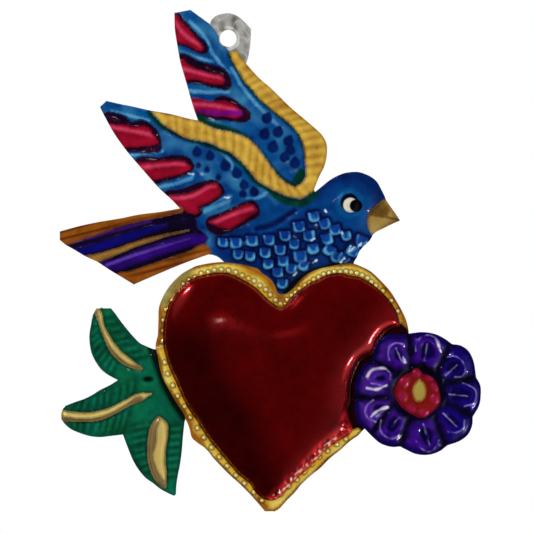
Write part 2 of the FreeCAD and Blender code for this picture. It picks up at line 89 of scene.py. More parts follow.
def flow(table, step=1.5, closed=False):
    """A line through the points of a table: smooth at plain points, sharp at corners."""
    points = np.array([row[:2] for row in table], float)
    sharp = [len(row) > 2 for row in table]
    count = len(points)
    runs = count if closed else count - 1
    ahead = np.roll(points, -1, 0) - points
    ahead /= np.maximum(np.linalg.norm(ahead, axis=1), 1e-9)[:, None]
    turned = ahead + np.roll(ahead, 1, 0)
    turned /= np.maximum(np.linalg.norm(turned, axis=1), 1e-9)[:, None]
    made = []
    for k in range(runs):
        n = (k + 1) % count
        a, b = points[k], points[n]
        span = np.linalg.norm(b - a)
        leave = ahead[k] if sharp[k] or (k == 0 and not closed) else turned[k]
        reach = ahead[k] if sharp[n] or (n == count - 1 and not closed) else turned[n]
        t = np.linspace(0, 1, max(1, round(span / step)), endpoint=False)[:, None]
        made.append((2 * t**3 - 3 * t**2 + 1) * a + (t**3 - 2 * t**2 + t) * leave * span
                    + (3 * t**2 - 2 * t**3) * b + (t**3 - t**2) * reach * span)
    if not closed:
        made.append(points[-1:])
    return np.concatenate(made)


print("one pixel is", PIXEL / MM, "mm")

# %% [markdown]
# ## Distances
#
# Almost every form and every patch of lacquer is told by how far a point of the sheet is from a
# drawn line. One function gives the distance to a line, and one the distance to the edge of a
# closed shape, positive inside it.

# %% Distance to a line and to a shape
FAR = 60.0


def looped(line):
    """A line with its first point again at its end."""
    return np.vstack([line, line[:1]])


def away(points, line, reach=FAR):
    """Distance in pixels from each point to a line of points, exact out to reach."""
    line = np.asarray(line, float)
    near = ((points > line.min(0) - reach) & (points < line.max(0) + reach)).all(1)
    mine = points[near]
    best = np.full(len(mine), reach**2)
    for a, b in zip(line[:-1], line[1:]):
        run = b - a
        share = np.clip((mine - a) @ run / max(run @ run, 1e-9), 0, 1)
        gap = mine - a - share[:, None] * run
        best = np.minimum(best, (gap**2).sum(1))
    found = np.full(len(points), reach)
    found[near] = np.sqrt(best)
    return found


def nearest(points, lines, reach):
    """Distance to the nearest of several drawn lines, given as tables or as their text."""
    lines = traces(lines) if isinstance(lines, str) else lines
    return np.min([away(points, flow(line), reach) for line in lines], 0)


def from_dot(points, dot):
    """Distance from each point to one dot."""
    return np.linalg.norm(points - dot, axis=1)


def inside(points, loop):
    """True for the points inside a closed loop."""
    found = np.zeros(len(points), bool)
    box = ((points > loop.min(0)) & (points < loop.max(0))).all(1)
    x, y = points[box].T
    hit = np.zeros(len(x), bool)
    for (ax, ay), (bx, by) in zip(loop, np.roll(loop, -1, 0)):
        if ay != by:
            hit ^= ((ay > y) != (by > y)) & (x < (bx - ax) * (y - ay) / (by - ay) + ax)
    found[box] = hit
    return found


def depth_in(points, loop, reach=FAR):
    """Distance to the edge of a closed loop, positive inside it and negative outside."""
    gap = away(points, looped(loop), reach)
    return np.where(inside(points, loop), gap, -gap)


def within(points, loops, reach=14):
    """Distance into the nearest of several drawn shapes, negative outside them all."""
    return np.max([depth_in(points, flow(loop, closed=True), reach) for loop in loops], 0)


def ridge(gap, half):
    """1 on a line, easing to 0 at half its breadth."""
    t = np.clip(1 - gap / half, 0, 1)
    return t * t * (3 - 2 * t)


def swell(gap, width):
    """0 at an edge, rising like the side of a cushion to 1 at width."""
    t = np.clip(gap / width, 0, 1)
    return np.where(t < 0.3, t * t * 3.2, 1 - (1 - t) ** 2 * 1.453)


def wander(points, wave, seed):
    """The slow unevenness of handwork: about -1 to 1, with waves about so many pixels long."""
    dice = np.random.default_rng(seed)
    total = np.zeros(len(points))
    for _ in range(9):
        turn = dice.uniform(0, math.tau)
        pace = math.tau / (wave * dice.uniform(0.7, 1.5))
        along = points @ np.array([math.cos(turn), math.sin(turn)])
        total += np.sin(along * pace + dice.uniform(0, math.tau))
    return total / 4


print("distance helpers ready")

# %% [markdown]
# ## A sheet of tin
#
# Every figure is one sheet. Its outline and its inner creases are triangulated together with a
# dense mesh of points, so there is enough metal to press fine relief into, and denser where the
# forms are small. Heights are kept beside the points and applied at the end. A soap film over the
# dome of the heart gives the even cushion that a sheet takes when it is pushed out inside a fixed
# edge.

# %% The sheet
ROW_HEIGHT = 0.866
JITTER = 0.04
KEEP_OFF = 0.45
FILM_ROUNDS = 900
FILM_GOAL = 1e-4


class Sheet:
    """A flat cut sheet: its points, its triangles, its height in mm, and its patches of paint."""

    def __init__(self, name, outline, pitch, fine=(), creases=(), holes=()):
        self.name = name
        dice = np.random.default_rng(5)
        loops = [outline, *holes, *creases]
        points = self.lattice(outline, pitch, dice)
        for zone, close in fine:
            points = points[~inside(points, zone)]
            finer = self.lattice(zone, close, dice)
            points = np.vstack([points, finer[inside(finer, zone)]])
        points = points[inside(points, outline)]
        keep_off = KEEP_OFF * min([pitch] + [close for _, close in fine])
        for loop in loops:
            points = points[away(points, looped(loop), 3) > keep_off]
        verts = list(np.vstack(loops)) + list(points)
        edges, start = [], 0
        for loop in loops:
            count = len(loop)
            edges += [(start + k, start + (k + 1) % count) for k in range(count)]
            start += count
        out = delaunay_2d_cdt([Vector(p) for p in verts], edges, [], 0, 1e-5)
        self.p = np.array([tuple(v) for v in out[0]])
        tri = np.array([face for face in out[2] if len(face) == 3])
        middle = self.p[tri].mean(1)
        good = inside(middle, outline)
        for hole in holes:
            good &= ~inside(middle, hole)
        tri = tri[good]
        used = np.unique(tri)
        number = np.full(len(self.p), -1)
        number[used] = np.arange(len(used))
        self.p, self.tri = self.p[used], number[tri][:, ::-1]
        self.h = np.zeros(len(self.p))
        self.marks = {}
        self.weigh()
        print(name, "points:", len(self.p), "triangles:", len(self.tri))

    @staticmethod
    def lattice(zone, pitch, dice):
        """Even points over the box of a zone, in the pattern of a honeycomb."""
        low, high = zone.min(0), zone.max(0)
        xs = np.arange(low[0], high[0] + pitch, pitch)
        ys = np.arange(low[1], high[1] + pitch, pitch * ROW_HEIGHT)
        across, down = np.meshgrid(xs, ys)
        across = across + (np.arange(len(ys)) % 2)[:, None] * pitch / 2
        points = np.stack([across.ravel(), down.ravel()], 1)
        return points + dice.normal(0, pitch * JITTER, points.shape)

    def weigh(self):
        """How stiffly each point is tied to its neighbours, for the soap film."""
        p, (i, j, k) = self.p, self.tri.T
        ties = []
        for a, b, c in ((i, j, k), (j, k, i), (k, i, j)):
            u, v = p[b] - p[a], p[c] - p[a]
            cross = np.maximum(np.abs(u[:, 0] * v[:, 1] - u[:, 1] * v[:, 0]), 1e-9)
            ties.append((b, c, (u * v).sum(1) / cross / 2))
        self.rows = np.concatenate([t[0] for t in ties] + [t[1] for t in ties])
        self.cols = np.concatenate([t[1] for t in ties] + [t[0] for t in ties])
        self.tie = np.concatenate([t[2] for t in ties] * 2)
        self.load = np.bincount(self.tri.ravel(), np.repeat(cross / 6, 3), len(p))

    def soap_film(self, region):
        """The cushion over a region: 0 at its edge, 1 at its top."""
        mine = np.flatnonzero(region)
        number = np.full(len(self.p), -1)
        number[mine] = np.arange(len(mine))
        own = np.bincount(self.rows, self.tie, len(self.p))[mine]
        both = region[self.rows] & region[self.cols]
        rows, cols, tie = number[self.rows[both]], number[self.cols[both]], self.tie[both]
        film = np.zeros(len(mine))
        rest = self.load[mine].copy()
        goal = FILM_GOAL * np.linalg.norm(rest)
        eased = rest / own
        step = eased.copy()
        power = rest @ eased
        for _ in range(FILM_ROUNDS):
            pull = own * step - np.bincount(rows, tie * step[cols], len(mine))
            size = power / (step @ pull)
            film += size * step
            rest -= size * pull
            if np.linalg.norm(rest) < goal:
                break
            eased = rest / own
            power, last = rest @ eased, power
            step = eased + step * power / last
        whole = np.zeros(len(self.p))
        whole[mine] = np.clip(film / film.max(), 0, 1)
        return whole

    def softened(self, values, rounds):
        """Values averaged with their neighbours, several times over."""
        count = np.bincount(self.rows, minlength=len(self.p))
        for _ in range(rounds):
            around = np.bincount(self.rows, values[self.cols], len(self.p)) / count
            values = (values + around) / 2
        return values


print("sheets are cut by a triangulation that keeps every snipped edge")

# %% [markdown]
# ## Marks that repeat
#
# The maker strikes the same small tool again and again: a bead punch along the rim, a blunt edge
# for the ribs, a curved chisel for the scales of the breast. A Geometry Nodes tree presses a sheet
# wherever it lies near a set of marks, so a whole row is one modifier. Two more trees lay out marks:
# one sets beads along a path, and one stamps a small shape on every point. Ribs are plain lines from
# one drawn edge to another. All marks are small helper objects, deleted once the sheet is pressed.

# %% A small helper for node trees
def new_tree(name, inputs):
    """A geometry tree with a Geometry input and output, and the named inputs."""
    tree = bpy.data.node_groups.new(name, "GeometryNodeTree")
    tree.interface.new_socket("Geometry", in_out="INPUT", socket_type="NodeSocketGeometry")
    for label, kind, value in inputs:
        socket = tree.interface.new_socket(label, in_out="INPUT", socket_type="NodeSocket" + kind)
        if value is not None:
            socket.default_value = value
    tree.interface.new_socket("Geometry", in_out="OUTPUT", socket_type="NodeSocketGeometry")
    return tree


def socket_of(sockets, key):
    """A socket by its number or its name, or else by its identifier."""
    if isinstance(key, int) or key in sockets:
        return sockets[key]
    return next(socket for socket in sockets if socket.identifier == key)


def put(tree, kind, settings=None, links=None):
    """Adds a node: its settings first, then values or links for its sockets."""
    node = tree.nodes.new(kind)
    for key, value in (settings or {}).items():
        setattr(node, key, value)
    for key, value in (links or {}).items():
        socket = socket_of(node.inputs, key)
        if isinstance(value, bpy.types.NodeSocket):
            tree.links.new(value, socket)
        else:
            socket.default_value = value
    return node


def add_modifier(piece, tree, values):
    """Puts a tree on a piece, with its inputs set by their sockets' identifiers."""
    modifier = piece.modifiers.new(tree.name, "NODES")
    modifier.node_group = tree
    for item in tree.interface.items_tree:
        if item.in_out == "INPUT" and item.name in values:
            modifier[item.identifier] = values[item.name]


def new_object(name, verts, edges, faces):
    """A mesh object in the scene."""
    mesh = bpy.data.meshes.new(name)
    mesh.from_pydata(verts, edges, faces)
    piece = bpy.data.objects.new(name, mesh)
    bpy.context.collection.objects.link(piece)
    return piece


print("node helpers ready")

# %% The pressing tree
def pressing_tree(name, target):
    """Presses a sheet forwards near its marks: near points for beads, near edges for ribs."""
    tree = new_tree(name, [("Marks", "Object", None), ("Half Width", "Float", 0.0005),
                           ("Height", "Float", 0.0003), ("Finish", "Material", None)])
    given = put(tree, "NodeGroupInput").outputs
    marks = put(tree, "GeometryNodeObjectInfo", {"transform_space": "ORIGINAL"},
                {"Object": given["Marks"]})
    place = put(tree, "GeometryNodeInputPosition")
    parts = put(tree, "ShaderNodeSeparateXYZ", None, {0: place.outputs[0]})
    flat = put(tree, "ShaderNodeCombineXYZ", None, {"X": parts.outputs["X"], "Z": parts.outputs["Z"]})
    near = put(tree, "GeometryNodeProximity", {"target_element": target},
               {0: marks.outputs["Geometry"], "Sample Position": flat.outputs[0]})
    push = put(tree, "ShaderNodeMapRange", {"interpolation_type": "SMOOTHSTEP"},
               {"Value": near.outputs["Distance"], "From Min": 0.0, "From Max": given["Half Width"],
                "To Min": given["Height"], "To Max": 0.0})
    back = put(tree, "ShaderNodeMath", {"operation": "MULTIPLY"}, {0: push.outputs[0], 1: -1.0})
    offset = put(tree, "ShaderNodeCombineXYZ", None, {"Y": back.outputs[0]})
    moved = put(tree, "GeometryNodeSetPosition", None,
                {"Geometry": given["Geometry"], "Offset": offset.outputs[0]})
    real = put(tree, "GeometryNodeRealizeInstances", None, {"Geometry": moved.outputs[0]})
    coated = put(tree, "GeometryNodeSetMaterial", None,
                 {"Geometry": real.outputs[0], "Material": given["Finish"]})
    put(tree, "NodeGroupOutput", None, {"Geometry": coated.outputs[0]})
    return tree


PRESS_DOTS = pressing_tree("press dots", "POINTS")
PRESS_LINES = pressing_tree("press lines", "EDGES")
PRESS_TILES = pressing_tree("press tiles", "FACES")
print("pressing trees for dots, lines and tiles")

# %% The tree that spaces beads along a path
def bead_row_tree():
    """Beads at an even pitch along a path, each a little off its place."""
    tree = new_tree("bead row", [("Pitch", "Float", 0.002), ("Stray", "Float", 0.0001),
                                 ("Seed", "Int", 3)])
    given = put(tree, "NodeGroupInput").outputs
    path = put(tree, "GeometryNodeMeshToCurve", None, {0: given["Geometry"]})
    spaced = put(tree, "GeometryNodeResampleCurve", {"mode": "LENGTH"},
                 {"Curve": path.outputs[0], "Length": given["Pitch"]})
    low = put(tree, "ShaderNodeMath", {"operation": "MULTIPLY"}, {0: given["Stray"], 1: -1.0})
    floor = put(tree, "ShaderNodeCombineXYZ", None, {"X": low.outputs[0], "Z": low.outputs[0]})
    roof = put(tree, "ShaderNodeCombineXYZ", None, {"X": given["Stray"], "Z": given["Stray"]})
    stray = put(tree, "FunctionNodeRandomValue", {"data_type": "FLOAT_VECTOR"},
                {"Min": floor.outputs[0], "Max": roof.outputs[0], "Seed": given["Seed"]})
    moved = put(tree, "GeometryNodeSetPosition", None,
                {"Geometry": spaced.outputs[0], "Offset": stray.outputs[0]})
    made = put(tree, "GeometryNodeCurveToMesh", None, {0: moved.outputs[0]})
    put(tree, "NodeGroupOutput", None, {"Geometry": made.outputs[0]})
    return tree


BEAD_ROW = bead_row_tree()
print("bead tree ready")

# %% The tree that stamps a small mark on every point
def stamp_tree():
    """Copies a mark to every point, turned and sized by what the point says."""
    tree = new_tree("stamps", [("Mark", "Object", None)])
    given = put(tree, "NodeGroupInput").outputs
    mark = put(tree, "GeometryNodeObjectInfo", {"transform_space": "ORIGINAL"},
               {"Object": given["Mark"]})
    turn = put(tree, "GeometryNodeInputNamedAttribute", {"data_type": "FLOAT"}, {"Name": "turn"})
    size = put(tree, "GeometryNodeInputNamedAttribute", {"data_type": "FLOAT"}, {"Name": "size"})
    spin = put(tree, "ShaderNodeCombineXYZ", None, {"Y": turn.outputs[0]})
    stamped = put(tree, "GeometryNodeInstanceOnPoints", None,
                  {"Points": given["Geometry"], "Instance": mark.outputs["Geometry"],
                   "Rotation": spin.outputs[0], "Scale": size.outputs[0]})
    real = put(tree, "GeometryNodeRealizeInstances", None, {"Geometry": stamped.outputs[0]})
    put(tree, "NodeGroupOutput", None, {"Geometry": real.outputs[0]})
    return tree


STAMPS = stamp_tree()
print("stamp tree ready")

# %% Helper objects that hold marks
helpers = []


def marks_object(name, points, edges, faces=()):
    """A loose mesh in the plane of the drawing, deleted once it has been pressed."""
    piece = new_object(name, [(x, 0.0, z) for x, z in metres(points)], edges, faces)
    helpers.append(piece)
    return piece


def bead_row(table, pitch, stray, seed):
    """Beads along a drawn path; the pitch and the stray are in mm."""
    line = flow(table)
    path = marks_object("bead path", line, [(k, k + 1) for k in range(len(line) - 1)])
    add_modifier(path, BEAD_ROW, {"Pitch": pitch * MM, "Stray": stray * MM, "Seed": seed})
    return path


def stamps(rows, shape, filled=False):
    """A small drawn shape on every row of x, y, turn in degrees and size."""
    count = len(shape)
    edges = [] if filled else [(k, k + 1) for k in range(count - 1)]
    faces = [tuple(range(count))] if filled else []
    mark = marks_object("mark", np.array(shape) + HOLE, edges, faces)
    spots = marks_object("spots", [row[:2] for row in rows], [])
    for label, values in (("turn", [math.radians(row[2]) for row in rows]),
                          ("size", [row[3] for row in rows])):
        spots.data.attributes.new(label, "FLOAT", "POINT").data.foreach_set("value", values)
    add_modifier(spots, STAMPS, {"Mark": mark})
    return spots


def shared_out(table, shares):
    """Points of a drawn line at these shares of its length."""
    line = flow(table)
    spots = shares * (len(line) - 1)
    return np.stack([np.interp(spots, range(len(line)), line[:, k]) for k in (0, 1)], 1)


def ribs(from_line, to_line, count, seed, trim=0.1):
    """Lines from one drawn edge to another, evenly shared out with a little unevenness."""
    dice = np.random.default_rng(seed)
    shares = (np.arange(count) + 0.5 + dice.uniform(-0.22, 0.22, count)) / count
    a, b = shared_out(from_line, shares), shared_out(to_line, shares)
    a, b = a + (b - a) * trim, b + (a - b) * trim
    points = np.stack([a, b], 1).reshape(-1, 2)
    return marks_object("ribs", points, [(2 * k, 2 * k + 1) for k in range(count)])


print("mark layouts ready")

# %% [markdown]
# ## Lacquer and tin
#
# The colours are clear dyed lacquers over bright tin. Hollows are coloured deep and dark and ridges
# thin and bright: partly as the lacquer pools in a hollow and thins on a ridge, where the metal shines
# through, and partly as painted shade laid into the hollows. So each finish is a pair of colours,
# thin and deep, mixed by how hollow the sheet is at that point and by a cloudy brush pattern. A second
# colour is laid over the first inside its own painted edge.

# %% Expressions on shader sockets
class Wire:
    """A shader socket in an expression. Sums on it add Math nodes."""

    def __init__(self, board, socket):
        self.board, self.socket = board, socket

    def math(self, operation, *values, clamp=False):
        return self.board.add("ShaderNodeMath", {"operation": operation, "use_clamp": clamp},
                              dict(enumerate(values)))

    def __add__(self, other):
        return self.math("ADD", self, other)

    def __sub__(self, other):
        return self.math("SUBTRACT", self, other)

    def __rsub__(self, other):
        return self.math("SUBTRACT", other, self)

    def __mul__(self, other):
        return self.math("MULTIPLY", self, other)

    def clamped(self):
        return self.math("ADD", self, 0.0, clamp=True)

    __radd__, __rmul__ = __add__, __mul__


class Board:
    """The nodes of one finish."""

    def __init__(self, name):
        self.material = bpy.data.materials.new(name)
        self.material.use_nodes = True
        self.tree = self.material.node_tree
        self.tree.nodes.clear()

    def add(self, kind, settings=None, sockets=None, out=0):
        """A node, and the wire from one of its outputs."""
        links = {key: value.socket if isinstance(value, Wire) else value
                 for key, value in (sockets or {}).items()}
        node = put(self.tree, kind, settings, links)
        return Wire(self, socket_of(node.outputs, out)) if node.outputs else node

    def place(self):
        return self.add("ShaderNodeTexCoord", out="Object")

    def noise(self, scale, detail=2.0, rough=0.5, stretch=None):
        place = self.place()
        if stretch:
            place = self.add("ShaderNodeMapping", {"vector_type": "POINT"},
                             {"Vector": place, "Scale": stretch[1], "Rotation": stretch[0]})
        return self.add("ShaderNodeTexNoise", None,
                        {"Vector": place, "Scale": scale, "Detail": detail, "Roughness": rough}, out="Fac")

    def read(self, name):
        return self.add("ShaderNodeAttribute", {"attribute_name": name}, out="Fac")

    def blend(self, mask, below, above):
        return self.add("ShaderNodeMix", {"data_type": "RGBA"},
                        {"Factor_Float": mask, "A_Color": below, "B_Color": above}, out="Result_Color")

    def finish(self, sockets, bump=None):
        """The shader at the end, with a bump if one is given."""
        if bump is not None:
            height, strength, distance = bump
            sockets["Normal"] = self.add("ShaderNodeBump", None,
                                         {"Height": height, "Strength": strength, "Distance": distance})
        shader = self.add("ShaderNodeBsdfPrincipled", None, sockets)
        self.add("ShaderNodeOutputMaterial", None, {"Surface": shader})
        return self.material


def tone(red, green, blue):
    """A colour read off the photograph, 0 to 255, as the linear light that Blender works in."""
    return tuple(c / 12.92 if c <= 0.04045 else ((c + 0.055) / 1.055) ** 2.4
                 for c in (red / 255, green / 255, blue / 255)) + (1.0,)


print("shader helpers ready")

# %% [markdown]
# The lacquer function takes the ground colour and then the painted patches in the order they were
# brushed on: lacquer colours, and also painted highlights and painted shade. Each patch reads an
# attribute: the distance in pixels from its painted edge, positive inside. A little noise moves that
# edge, as a loaded brush does.

# %% Lacquer over tin
EDGE_SWAY = 0.6
COAT = {"Coat Roughness": 0.06, "Specular IOR Level": 0.2}


def lacquer(name, ground, patches, metal, rough, coat, hollow_darkening, cloud):
    """A dyed lacquer: ground is its thin and deep colours; patches are (attribute, thin, deep,
    metal, softness in pixels)."""
    board = Board(name)
    clouds = board.noise(110, 3, 0.55)
    brush = board.noise(420, 3, 0.6)
    edge = board.noise(650, 2)
    # How hollow the sheet is here. It deepens the lacquer colour, partly as pooled lacquer and partly as
    # painted shade in the hollows.
    pool = board.read("pool")
    deep = (0.45 + pool * hollow_darkening + (clouds - 0.5) * cloud + (brush - 0.5) * (cloud * 0.7)).clamped()
    colour = board.blend(deep, tone(*ground[0]), tone(*ground[1]))
    shine = metal
    for attribute, thin, dark, own_metal, soft in patches:
        sway = board.read(attribute) + (edge - 0.5) * EDGE_SWAY
        mask = (0.5 + sway * (1 / soft)).clamped()
        colour = board.blend(mask, colour, board.blend(deep, tone(*thin), tone(*dark)))
        shine = mask * own_metal + (1 - mask) * shine
    grit = board.noise(2600, 2)
    dust = board.noise(300, 4, 0.65)
    sockets = {"Base Color": colour, "Metallic": shine, "Coat Weight": coat,
               "Roughness": (rough - 0.05 + dust * 0.1).clamped(), **COAT}
    return board.finish(sockets, (grit * 0.35 + dust, 0.22, 0.00006))


def bare_tin():
    """The bare side of tinplate: dull bright, with fine rolling lines and smears."""
    board = Board("bare tin")
    rolled = board.noise(500, 3, 0.6, ((0, 0.12, 0), (0.06, 1, 1.6)))
    smear = board.noise(70, 4, 0.6)
    tint = (smear * 1.2 - 0.1 + (rolled - 0.5) * 0.5).clamped()
    return board.finish({"Base Color": board.blend(tint, tone(161, 161, 158), tone(188, 188, 184)),
                         "Metallic": 0.85,
                         "Roughness": (0.3 + (rolled - 0.5) * 0.25 + (smear - 0.5) * 0.15).clamped()},
                        (rolled + smear, 0.25, 0.00008))


TIN_BACK = bare_tin()
print("bare tin made")

# %% [markdown]
# ## From a pressed sheet to a piece
#
# The front of the sheet becomes a mesh, the trees press their marks into it, and the result is made
# a plain mesh. Then the hollows are measured for the lacquer, which darkens in them, partly as painted
# shade, and Solidify gives the sheet its 0.3 mm backwards, with bare tin on the back and on the cut
# edges. Everything pressed out on the front is a hollow on the back, as on the real one.

# %% Finish a piece
# The y of the flat front face of each sheet, in mm.
FRONTS = {"hanging_tab": -0.3, "bird": -0.6, "leaf_sprig": -0.6, "heart": -0.9, "flower": -1.2,
          "flower_centre": -1.5}
SHARP_EDGE = math.radians(60)
POOL_ROUNDS = 20


def plain(piece):
    """The piece as its modifiers leave it, as a mesh of its own."""
    graph = bpy.context.evaluated_depsgraph_get()
    mesh = bpy.data.meshes.new_from_object(piece.evaluated_get(graph))
    old = piece.data
    piece.modifiers.clear()
    piece.data = mesh
    bpy.data.meshes.remove(old)


def places_of(mesh):
    """The places of the points of a mesh."""
    co = np.zeros(len(mesh.vertices) * 3)
    mesh.vertices.foreach_get("co", co)
    return co.reshape(-1, 3)


def declare(piece, node):
    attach(piece, "root")
    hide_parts(node)


def built(sheet, finish, presses=()):
    """Makes the object of a sheet; presses are the marks, with their half width and height in mm,
    that the trees press into it."""
    flat = metres(sheet.p)
    front = FRONTS[sheet.name]
    co = np.stack([flat[:, 0], np.full(len(flat), front * MM) - sheet.h * MM, flat[:, 1]], 1)
    piece = new_object(sheet.name, co.tolist(), [], sheet.tri.tolist())
    piece.data.materials.append(finish)
    struck = []
    for tree, marks, half, height in presses:
        add_modifier(piece, tree, {"Marks": marks, "Half Width": half * MM, "Height": height * MM,
                                   "Finish": finish})
        if tree is PRESS_DOTS:
            struck += list(places_of(marks.evaluated_get(bpy.context.evaluated_depsgraph_get()).data))
    plain(piece)
    if struck:
        off_bead = np.min([from_dot(flat, dot[[0, 2]]) for dot in struck], 0) / PIXEL
        # Painted light at each struck bead: a bright painted highlight on it and a ring of painted shade
        # round it.
        sheet.marks.update(bead=1.4 - off_bead, bead_ring=0.5 - np.abs(off_bead - 2.5))
    while helpers:
        bpy.data.objects.remove(helpers.pop())
    mesh = piece.data
    raised = front - places_of(mesh)[:, 1] / MM
    # How hollow each point is, for the lacquer. Its darkening of hollows is partly painted shade.
    hollow = sheet.softened(raised, POOL_ROUNDS) - raised
    for label, values in {**sheet.marks, "pool": hollow}.items():
        mesh.attributes.new(label, "FLOAT", "POINT").data.foreach_set("value", np.asarray(values, float))
    mesh.materials.append(TIN_BACK)
    thick = piece.modifiers.new("thickness", "SOLIDIFY")
    thick.thickness, thick.offset = TIN, -1
    thick.material_offset = thick.material_offset_rim = 1
    plain(piece)
    piece.data.shade_smooth()
    piece.data.set_sharp_from_angle(angle=SHARP_EDGE)
    declare(piece, sheet.name)
    low, high = np.array(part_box(sheet.name))
    co = places_of(piece.data)
    past = [np.minimum(co.min(0) - low, 0), np.maximum(co.max(0) - high, 0)]
    print(sheet.name, "triangles:", len(piece.data.loop_triangles) or len(piece.data.polygons),
          "past its solid's box, mm:", np.round(np.concatenate(past) / MM, 2).tolist())


print("ready to press sheets")

# %% [markdown]
# ## The heart
#
# One sheet: a flat gilt rim with a row of struck beads, round a dome that is pushed out against the
# edge. The dome stops short of the flower at the right, so that the flower lies flat. The outline
# shows every short cut of the snips.

# %% The heart's lines
HEART_EDGE = flow(trace("""
    281,294.5* 286,293.5 294,287 300,280 306,275 313,271 322,268 340,264.6 353,263.6 360,266 370,271
    380,280 390,291 397,302 403,313 407,323 408.6,333 407,360 399,387 383,411 362,431 358,435.5*
    350,441 340,450 330,458 320,468 310,476 300,485.5* 295,492 287,500 280,508* 275,510.9*
    265,511.2* 258,503 250,494 240,484 230,475 220,465 213,457.5* 208,451 204,447* 198,443 193,439*
    191.5,436.5 190,430* 188,424 186,420* 184,414 178,405 172,395 167,386 163,378 160,368 158,357
    155.5,348* 156,343 158,335* 158.5,320 159,308 161,301* 165,293 170,285.5* 175,280 183,273
    190,269 196,266* 205,264 215,262.5 224,262 235,263.5 245,265 252,267* 258,269 262,273 268,277
    272,281 275,286 278,293"""), 0.8, closed=True)
DOME_EDGE = flow(trace("""
    164,346 163.5,335 164,325 166,315 169,305 174,297 178,291 184,285 190,280 197,277 205,275
    213,273.5 220,273 228,273.5 235,276 243,280 250,284 258,290 265,297 272,303 276,305.5 281,307.5
    285,304 290,299 297,292 303,288 310,283 318,280 323,277 330,274.5 340,273.5 350,276 358,277
    366,281 375,287 383,294 390,302 395,310 398,318 399,325* 390,328 383,333 378,340 375,348
    371,353.5 364,356.5 359,361 355.5,367 352,375 349.5,385 349,393 349,400 347,407 347,413 349,420
    352,427* 350,433 342,438 333,444 325,450 318,458 310,466 300,475 292,483 285,491 280,496 275,499
    268,499.5 262,497 256,492 250,483 240,475 230,464 220,452 210,440 203,430 197,420 190,410
    183,397 176,381 170,368 166,355"""), 0.8, closed=True)
BEAD_PATHS = list(zip(traces("""
    162.6,341 163.2,330 164,316 167.5,306 174,298 184,284 | 189,280.5 203,273.4 218,270 230,270.5 243,275.5
    257,283 266,290 273,298 281,304 | 287,299.5 294,293.5 300,288.5 308,283.5 316,278.5 327,273.5 340,271.6
    353,272.5 366,277.5 376,285 | 383,290.5 392,301 398,311 | 346,439 333,446.5 323,454 314,462 306,470
    298,478 290,485.5 281,494 | 262,500.5 250,488 238,476.5 226,464 214,450 204,437 195,424 186,409 177,394
    169,376 165,362"""), [2.5, 1.75, 1.45, 2.4, 2.75, 3]))

# Painted shade: the flat seat beside the flower, coloured dark maroon.
SEAT_SHADE = trace("""
    396,322 403,324 410,334 420,380 385,445 366,434 358,429 350,430 345,416 345,395 350,372 362,353 374,345
    384,330""")
PALE_RIM = trace("165,300 174,286 186,275")
BROWN_RIM = traces("""
    252,268 266,276 276,290 281,297 | 160,312 160,328 158,345 | 188,420 191,432 200,442 | 258,500 265,507 |
    385,284 400,306 405,322""")
# Painted highlight: a bright line across the rim where it steps.
STEP_HIGHLIGHT = trace("155,347.8 159,347 163.5,346.2")
# Painted shade: the left and lower left of the dome darker.
DOME_SHADED_SIDE = trace("150,330 200,330 235,380 262,440 280,500 240,490 180,420 150,370")

# %% Press the heart
DOME_HEIGHT = 5.85
CRINKLE = 0.34
RIM_LIP = 0.12
HEART_CLIP = 6.0
heart = Sheet("heart", HEART_EDGE, 1.0, creases=[DOME_EDGE])
p = heart.p
in_dome = depth_in(p, DOME_EDGE)
film = heart.soap_film(in_dome > 0.01)
heart.h = DOME_HEIGHT * np.sqrt(1 - (1 - film) ** 2)
heart.h += np.clip(film * 3, 0, 1) * 0.12 * wander(p * [1, 0.6], 70, 1)
low_right = np.clip((p @ [0.7, 0.7] - 520) / 12, 0, 1) * np.clip((p[:, 0] - 262) / 8, 0, 1)
heart.h += CRINKLE * wander(p, 6, 4) * ridge(np.abs(in_dome - 3.5), 5) * low_right
on_rim = in_dome < 0
heart.h += RIM_LIP * ridge(np.abs(in_dome + 2.2), 2.2) * on_rim
heart.h += 0.05 * np.clip(1 + wander(p, 16, 3), 0, 2) * on_rim * np.clip(-in_dome / 3, 0, 1)
heart.h = np.clip(heart.softened(heart.h, 2), 0, HEART_CLIP)
heart.marks = {
    "dome": in_dome + 0.6, "inner": in_dome + 8.5 + 2.5 * wander(p, 30, 5),
    # Painted shade: the rim darker brown along its cut edge.
    "outer": 1.8 - away(p, looped(HEART_EDGE), 9) + wander(p, 40, 6),
    "seat": within(p, [SEAT_SHADE], 20), "pale": 7 - nearest(p, [PALE_RIM], FAR),
    "step": 0.5 - nearest(p, [STEP_HIGHLIGHT], 9), "brown": 4 - nearest(p, BROWN_RIM, 20),
    # Painted highlights: white glints broken along the lower right edge of the dome.
    "spark": np.minimum(3.4 * (wander(p, 6, 8) - 0.25), 2.2 - np.abs(in_dome - 2.4))
    + 9 * (low_right - 1) - np.clip(p[:, 0] - 336, 0, 99) / 3,
    # Painted highlight: bright red along the lower right edge of the dome.
    "glow": np.minimum(5.5 - in_dome + 2.5 * wander(p, 12, 7), 4 * in_dome) + 12 * (low_right - 1),
    # Painted shade: the left and lower left of the dome darker.
    "deep_side": np.minimum(within(p, [DOME_SHADED_SIDE], FAR) / 4, (in_dome - 0.5) * 4)}
print("dome height, mm:", round(heart.h.max(), 2))

